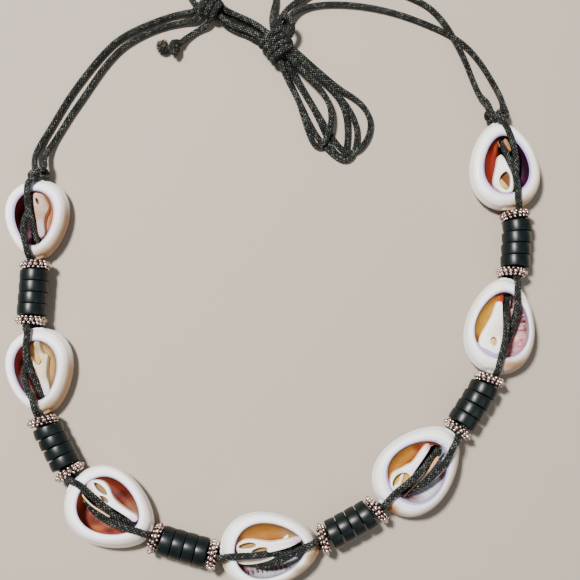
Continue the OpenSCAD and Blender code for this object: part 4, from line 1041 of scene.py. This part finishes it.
# Middle of the columella, from the narrow end to the wide end, as seen
SPINE = [
    [(42, 237), (41.5, 229), (40, 220), (42, 207), (39, 196)],
    [(47, 393), (44, 378), (42.5, 362), (38.5, 350), (36.5, 343)],
    [(135, 519), (118, 508), (106, 500), (97, 489), (90, 484)],
    [(301, 539.4), (285, 543.5), (268, 548), (252, 549), (238.5, 550)],
    [(428, 446), (417, 461), (406, 472), (397, 480), (392.5, 486)],
    [(502, 303), (499.5, 317), (495, 333), (491, 344), (490, 352)],
    [(501.5, 156), (502.5, 166), (504, 178), (503, 186), (502, 191)]]


DEEP = [0.46, 0.36, 0.34, 0.36, 0.36, 0.40, 0.48]  # how light each of these walls is


def bowl(s, hue, spine):
    """Shallow wall of the inside between the rim and the columella."""
    n, m = (72, 18) if FINE else (20, 6)
    a, b = s.long / 2 * s.open_l * 1.004, s.width / 2 / FULLNESS * s.open_w * 1.02
    th = np.linspace(0, math.pi, n)
    arc = np.stack([a * np.cos(th) + s.off[0], b * np.sin(th) * (1 - EGG * np.cos(th)) + s.off[1]], 1)
    inner = [arc[0]] + [np.array(s.own(lay(x, y, s.high - 1.5))[:2]) for x, y in spine] + [arc[-1]]
    line = catmull([np.array([*q, 0.0]) for q in inner])
    far = np.concatenate([[0], np.cumsum(np.linalg.norm(np.diff(line, axis=0), axis=1))])
    want = np.linspace(0, far[-1], n)
    edge = np.stack([np.interp(want, far, line[:, 0]), np.interp(want, far, line[:, 1])], 1)
    verts, cols, faces = [], [], []
    for i in range(n):
        for j in range(m + 1):
            f = j / m
            u, v = arc[i] * (1 - f) + edge[i] * f
            drop = 0.75 + 1.15 * float(smoothstep(0.0, 0.4, f)) + 1.7 * float(smoothstep(0.6, 1.0, f))
            p = s.out(u, v, s.high - drop)
            verts.append(p)
            tip = float(smoothstep(0.15, 0.55, u / (s.long / 2)))
            col = np.array(hue["left"]) * (1 - tip) + np.array(hue["tip"]) * tip
            w = 1 - float(smoothstep(0.0, 0.06, f))
            # A band just inside the rim is darker: partly the hollow's own darker line along the rim, partly painted
            # shade under the rim.
            col = np.clip(blotted(col, p, PATCHES_AND_STRAND_SHADOWS[s.i]), 0, 1) ** 1.5 * (DEEP[s.i] - 0.17 * math.exp(-((f - 0.08) / 0.09) ** 2))
            cols.append(col * (1 - w) + np.array(LILAC) * 0.7 * w)
    for i in range(n - 1):
        for j in range(m):
            k = i * (m + 1) + j
            faces.append([k, k + 1, k + m + 2, k + m + 1])
    return np.array(verts), faces, None, np.clip(np.array(cols), 0, 1), 1


def slit_shade_plate(s):
    """A near-black plate low in the toothed slit, narrowing to its ends: painted shade standing for the dark under the
    shell.
    """
    a, n = s.long / 2 * 0.735, 24
    q, faces = [], []
    for k in range(n + 1):
        u = a * (2 * k / n - 1)
        w = 1.42 * (1 - 0.8 * float(smoothstep(0.84, 1.0, abs(u) / a)))
        q += [s.out(u, -w, 0.84), s.out(u, w, 0.84), s.out(u, w, 0.95), s.out(u, -w, 0.95)]
    for k in range(n):
        for j in range(4):
            c, d = 4 * k + j, 4 * k + (j + 1) % 4
            faces.append([c, d, d + 4, c + 4])
    faces += [[3, 2, 1, 0], [4 * n, 4 * n + 1, 4 * n + 2, 4 * n + 3]]
    return np.array(q), faces, None, np.tile(np.array([0.004, 0.002, 0.002]), (len(q), 1)), 1


# Marks between the teeth, low in the hollow right of the long axis: from, to, as seen,
# half width, colour
MARKS = {
    3: [((247.5 + 4.7 * k, 570.4 - 0.55 * k + 0.5 * (k % 2)), (248.7 + 4.7 * k, 575 - 0.75 * k - 0.5 * (k % 3)), 0.22 + 0.05 * (k % 3), (0.12, 0.065, 0.07)) for k in range(10)],
    5: [((518.6 + 0.9 * (k % 3), 317 + 4.6 * k), (524.6 - 0.7 * k + (k % 2), 314.6 + 5 * k), 0.26, (0.33, 0.12, 0.16) if k % 2 else (0.62, 0.42, 0.44)) for k in range(7)],
}


def marks(wall, rows):
    low = wall[wall[:, 2] < 4.6]
    parts = []
    for a, b, r, colour in rows:
        line = []
        for f in (0, 0.33, 0.67, 1):
            p = lay(a[0] * (1 - f) + b[0] * f, a[1] * (1 - f) + b[1] * f, 2.4)
            d = np.linalg.norm(low[:, :2] - p[:2], axis=1)
            near = np.argsort(d)[:12]
            near = near[low[near, 2] > 1.0] if np.any(low[near, 2] > 1.0) else near
            line.append([p[0], p[1], float(np.max(low[near[:4], 2])) + 0.02])
        v, f, uv, _, _ = tube(catmull(line, 4), r, n=8, step=0.3, relief=0.0)
        parts.append((v, f, None, np.tile(np.array(colour), (len(v), 1)), 1))
    return parts


for i, s in enumerate(shells):
    wall = shell_wall(s, HUES[i])
    parts = [wall] + inner_walls(s, HUES[i], INNER[i]) + [ledge(s, *e) for e in LEDGES.get(i, [])]
    parts += [bowl(s, HUES[i], SPINE[i]), slit_shade_plate(s)] + (marks(wall[0], MARKS[i]) if i in MARKS else [])
    if i in CRESCENT:
        line = catmull([lay(x, y, 6.0) for x, y in CRESCENT[i]])
        v, f, uv, _, _ = tube(line, 0.26, n=12, step=0.4, relief=0.0)
        parts.append((v, f, None, np.tile(np.array([0.60, 0.46, 0.30]), (len(v), 1)), 1))
    ob = make(f"shell_{i + 1}_cut", parts, [SHELL, HOLLOW, CUT])
    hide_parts(f"shell_{i + 1}")

# ------------------------------------------------------------------ beads
GROUPS = [
    (35.5, 265.5, -89, 31, 320.5, -91, 0, 0, 1, 1),
    (43.5, 421, -76, 69.7, 472, -57, 0, 0, 0.9, 0.9),
    (155.6, 538.3, -22, 212.6, 555, -9, 0, 0, -0.6, 0.45),
    (323.5, 539, 17, 376.7, 509.6, 40, 0, 0, -0.3, 0.3),
    (457.2, 429.5, 52, 489.4, 379.6, 71, 0, 0, 1, 0.9),
    (511.5, 272.5, 86, 515, 215.5, 99, 0.8, 0.5, 1.1, 0.9)]
DISC_R, DISC_BORE, SPACER_R, SPACER_T, SPACER_BORE = 4.0, 5.6, 4.55, 2.6, 5.8


def at_a(g):
    return lay(g[0], g[1], STRING_Z)


def at_b(g):
    return lay(g[3], g[4], STRING_Z)


def turned(profile, place, bearing, n, col=None, mat=0, wobble=0.0, seed=0):
    """A profile of (radius, along) turned round the string's direction at a place."""
    d = way(bearing)
    s, u = right_of(d), np.array([0, 0, 1.0])
    prof = np.array(profile, float)
    r_ = np.random.default_rng(seed)
    ph, am = r_.uniform(0, 6.28, 3), r_.uniform(-1, 1, 3) * wobble
    verts = []
    for k in range(n):
        a = 2 * math.pi * k / n
        w = 1 + sum(am[j] * math.sin((j + 2) * a + ph[j]) for j in range(3))
        for r, x in prof:
            rr = r * (w if r > 3 else 1)
            verts.append(place + d * x + rr * (math.cos(a) * s + math.sin(a) * u))
    m = len(prof)
    faces = [[k * m + i, ((k + 1) % n) * m + i, ((k + 1) % n) * m + (i + 1) % m, k * m + (i + 1) % m]
             for k in range(n) for i in range(m)]
    return np.array(verts), faces, None, None, mat


def disc_profile(t, r, bore):
    e = 0.16
    pts = [(bore / 2, -t / 2 + 0.12), (bore / 2 + 0.12, -t / 2), (r - e, -t / 2)]
    for a in (22, 45, 68):
        pts.append((r - e + e * math.sin(math.radians(a)), -t / 2 + e * (1 - math.cos(math.radians(a)))))
    pts += [(r, -t / 2 + e), (r + 0.07, -t / 4), (r + 0.09, 0), (r + 0.07, t / 4), (r, t / 2 - e)]
    for a in (68, 45, 22):
        pts.append((r - e + e * math.sin(math.radians(a)), t / 2 - e * (1 - math.cos(math.radians(a)))))
    return pts + [(r - e, t / 2), (bore / 2 + 0.12, t / 2), (bore / 2, t / 2 - 0.12)]


def group_turns(g):
    w = g[5] - g[2]
    return [g[2]] + [g[2] + w * (0.25 + 0.5 * (k + 0.5) / 4) for k in range(4)] + [g[5]]


for gi, g in enumerate(GROUPS):
    tr = group_turns(g)
    wedge = [AIR + DISC_R * math.tan(math.radians(abs(tr[k + 1] - tr[k]))) for k in range(5)]
    run = at_b(g) - at_a(g)
    t = (np.linalg.norm(run) - SPACER_T - sum(wedge)) / 4
    d = run / np.linalg.norm(run)
    for k in range(4):
        p = at_a(g) + right_of(d) * g[6] + d * (SPACER_T / 2 + (k + 0.5) * t + sum(wedge[:k + 1]))
        ob = make(f"disc_{gi + 1}_{k + 1}_turned", [turned(disc_profile(t, DISC_R, DISC_BORE), p, tr[k + 1], 56 if FINE else 24,
                  wobble=0.003, seed=gi * 10 + k)], [DISC])
        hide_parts(f"disc_{gi + 1}_{k + 1}")


def ball(c, r, d, n=8, m=6):
    """A granule, a round ball; the argument d is not used."""
    verts = [c + np.array([0, 0, r])]
    for i in range(1, m):
        for k in range(n):
            a, b = math.pi * i / m, 2 * math.pi * k / n
            verts.append(c + r * np.array([math.sin(a) * math.cos(b), math.sin(a) * math.sin(b), math.cos(a)]))
    verts.append(c - np.array([0, 0, r]))
    faces = [[0, 1 + k, 1 + (k + 1) % n] for k in range(n)]
    for i in range(m - 2):
        for k in range(n):
            a, b = 1 + i * n + k, 1 + i * n + (k + 1) % n
            faces.append([a, a + n, b + n, b])
    last = 1 + (m - 1) * n
    faces += [[last, last - n + (k + 1) % n, last - n + k] for k in range(n)]
    return np.array(verts), faces


def spacer(place, bearing, seed):
    d = way(bearing)
    s, u = right_of(d), np.array([0, 0, 1.0])
    r_ = random.Random(seed)
    prof = [(SPACER_BORE / 2, -1.0), (3.2, -1.0), (3.4, -0.7), (3.62, -0.3), (3.62, 0.3), (3.4, 0.7), (3.2, 1.0), (SPACER_BORE / 2, 1.0)]
    core = turned(prof, place, bearing, 40, mat=1)
    vs, fs, n = [], [], 0
    rows = ((17, SPACER_R - 0.64, 0.0, 0.63), (17, 3.40, 0.80, 0.47), (17, 3.40, -0.80, 0.47))
    for count, ring, x, r in rows:
        for k in range(count):
            a = 2 * math.pi * (k + (0.5 if x > 0 else 0.0)) / count + r_.uniform(-0.03, 0.03)
            c = place + d * (x + r_.uniform(-0.04, 0.04)) + ring * (math.cos(a) * s + math.sin(a) * u)
            v, f = ball(c, r * r_.uniform(0.92, 1.03), d, 8 if FINE else 5, 6 if FINE else 4)
            vs.append(v)
            fs += [[i + n for i in q] for q in f]
            n += len(v)
    return [core, (np.concatenate(vs), fs, None, None, 0)]


for i in range(12):
    g = GROUPS[i // 2]
    place, b = (at_a(g), g[2]) if i % 2 == 0 else (at_b(g), g[5])
    ob = make(f"spacer_{i + 1}_granules", spacer(place, b, i), [GRAIN, CORE])
    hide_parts(f"spacer_{i + 1}")

# ------------------------------------------------------------------ strands
OVER_IN = [
    [(28, 183.5, 8.3), (27, 194, 8.3), (28.5, 209, 8.1), (32.5, 224, 6.2), (36, 236, 4)],
    [(27, 332, 8.5), (26, 343, 8.5), (26.4, 359, 8.6), (32, 374, 6.3), (40, 389, 4.1)],
    [(77.5, 484, 9.3), (85, 490.5, 9.3), (101, 504, 8.6), (117.5, 517, 6.1), (130, 522.5, 4.1)],
    [(227, 557, 9), (237, 556.5, 9.1), (255, 555.5, 8.6), (277, 552, 5.5), (293, 548, 4.1)],
    [(388, 501, 9), (395.5, 493.5, 9.1), (408.3, 483, 9), (422.9, 469.2, 7), (433.5, 455.5, 4.1)],
    [(499, 366, 8.8), (501.5, 356, 8.9), (505.5, 338, 8.5), (506.5, 319, 6.7), (505.5, 305, 4.1)],
    [(518, 200, 8.6), (518, 190, 8.7), (515.5, 175, 8.4), (509.5, 160, 6.4), (503, 147, 4.2)]]
OVER_OUT = [
    [(34.5, 201, 3.5), (28, 212, 4.4), (24.5, 221, 6.6), (23.5, 235, 8.2), (26, 246, 8.3)],
    [(34, 350, 3.6), (27.5, 361, 4.2), (25, 371, 4.9), (27, 388, 7.6), (32.5, 400, 8.5)],
    [(86, 499.5, 3.8), (92, 508.5, 4.8), (105.5, 519.5, 6.6), (125, 528, 9), (138, 531.5, 9.3)],
    [(242, 555.5, 3.6), (254, 563.5, 4.6), (270, 564.5, 6.1), (295, 553, 8.9), (306, 547, 9.15)],
    [(402.5, 491.5, 3.6), (413, 489.5, 4.6), (430, 478.5, 6.4), (446, 461.5, 8.9), (452, 450, 9.2)],
    [(498.5, 352, 3.4), (507, 341, 3.7), (513.5, 322, 5.2), (517.5, 303, 8.6), (517.5, 290, 8.9)],
    [(508.5, 187, 3.4), (515.5, 176, 4), (516.5, 162, 5.6), (513.5, 145, 7.9), (509, 131.5, 8.7)]]
HI, LO, SPREAD = 1.03, -1.03, 0.3


def through(i, out, f):
    s = shells[i]
    e = (s.narrow if out else s.wide) - s.mid
    w = (1 if out else -1) * e / np.linalg.norm(e)
    side = np.cross(w, [0, 0, 1.0]) * (0.2 if out and i == 5 else 0)
    return flat(s.mid + e * f + side) + [0, 0, STRING_Z + LO - (0 if f > 1 else 0.2)]


def upper_a(g):
    return flat(at_a(g) + right_of(way(g[2])) * g[8] - way(g[2]) * SPACER_T / 2)


def upper_b(g):
    return flat(at_b(g) + right_of(way(g[5])) * g[9] + way(g[5]) * SPACER_T / 2)


def over(i, out, p):
    """Places over the rim, on the way from or to the bead next to the shell."""
    s = shells[i]
    knot = i == 6 if out else i == 0
    e = flat(s.narrow if out else s.wide) if knot else upper_a(GROUPS[i]) if out else upper_b(GROUPS[i - 1])
    d = flat(lay(*p)) - e
    far, near = (0.6, 0.25) if knot else (0.68, 0.37)
    return [e + d * f + [0, 0, s.high + (1.15 if f > 0.5 else 0.42 if out or knot else 0.15)]
            for f in ((far, near) if out else (near, far))]


def leg_in(i):
    return over(i, False, OVER_IN[i][0]) + laid(OVER_IN[i]) + [through(i, True, 0.72), through(i, True, 1.02)]


def leg_out(i):
    return [through(i, False, 1.02), through(i, False, 0.72)] + laid(OVER_OUT[i]) + over(i, True, OVER_OUT[i][-1])


def beads(gi, side):
    r = GROUPS[gi]
    s = 1 if side > 0 else -1
    z, e = np.array([0, 0, side]), np.array([0, 0, 0.33 if s > 0 else 0])
    ra, rb = right_of(way(r[2])), right_of(way(r[5]))
    u, v = way(r[2]) * SPACER_T / 2, way(r[5]) * SPACER_T / 2
    pa, pb = at_a(r) + z + ra * (r[8] if s > 0 else r[7] - SPREAD), at_b(r) + z + rb * (r[9] if s > 0 else r[7])
    return [pa - u + e, pa + u, pb - v, pb + v + e]


def from_knot(k, sign, up):
    return [lay(*k[:3]) + way(k[3]) * sign * (k[4] * 2 * 0.475 + 0.1 + 2 * AIR + d) + [0, 0, up] for d in (0, 0.5)]


strand_a = (from_knot(END_LEFT, 1, 1.2) + leg_in(0) + beads(0, LO) + leg_out(1) + beads(1, HI) + leg_in(2) + beads(2, LO)
            + leg_out(3) + beads(3, HI) + leg_in(4) + beads(4, LO) + leg_out(5) + beads(5, HI) + leg_in(6)
            + from_knot(END_RIGHT, -1, -1)[::-1])
strand_b = (from_knot(END_LEFT, 1, -1) + leg_out(0) + beads(0, HI) + leg_in(1) + beads(1, LO) + leg_out(2) + beads(2, HI)
            + leg_in(3) + beads(3, LO) + leg_out(4) + beads(4, HI) + leg_in(5) + beads(5, LO) + leg_out(6)
            + from_knot(END_RIGHT, -1, 1.6)[::-1])
for name, pts in (("strand_a", strand_a), ("strand_b", strand_b)):
    ob = make(name + "_braid", [tube(catmull(pts), 0.95, start=0.7)], [CORD])
    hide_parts(name)


# ------------------------------------------------------------------ floor and light
bpy.ops.mesh.primitive_plane_add(size=3.0, location=(0, 0, 0))
floor = bpy.context.object
floor.name = "floor"
m, nt, b = material("pale_floor")
b.inputs["Base Color"].default_value = (0.345, 0.295, 0.24, 1)
b.inputs["Roughness"].default_value = 0.85
floor.data.materials.append(m)


def area_light(name, place, target, size, power, colour=(1, 1, 1)):
    data = bpy.data.lights.new(name, "AREA")
    data.shape, data.size, data.energy, data.color = "DISK", size, power, colour
    ob = bpy.data.objects.new(name, data)
    bpy.context.scene.collection.objects.link(ob)
    ob.location = place
    ob.rotation_euler = (Vector(target) - Vector(place)).to_track_quat("-Z", "Y").to_euler()


area_light("key", (-0.27, 0.24, 0.78), (0, 0, 0), 0.14, 21.0, (1.0, 0.98, 0.95))
area_light("fill", (0.5, -0.3, 0.6), (0, 0, 0), 0.6, 1.2, (0.95, 0.97, 1.0))
world = bpy.data.worlds.new("studio")
bpy.context.scene.world = world
world.use_nodes = True
world.node_tree.nodes["Background"].inputs[0].default_value = (0.9, 0.95, 1.0, 1)
world.node_tree.nodes["Background"].inputs[1].default_value = 0.32
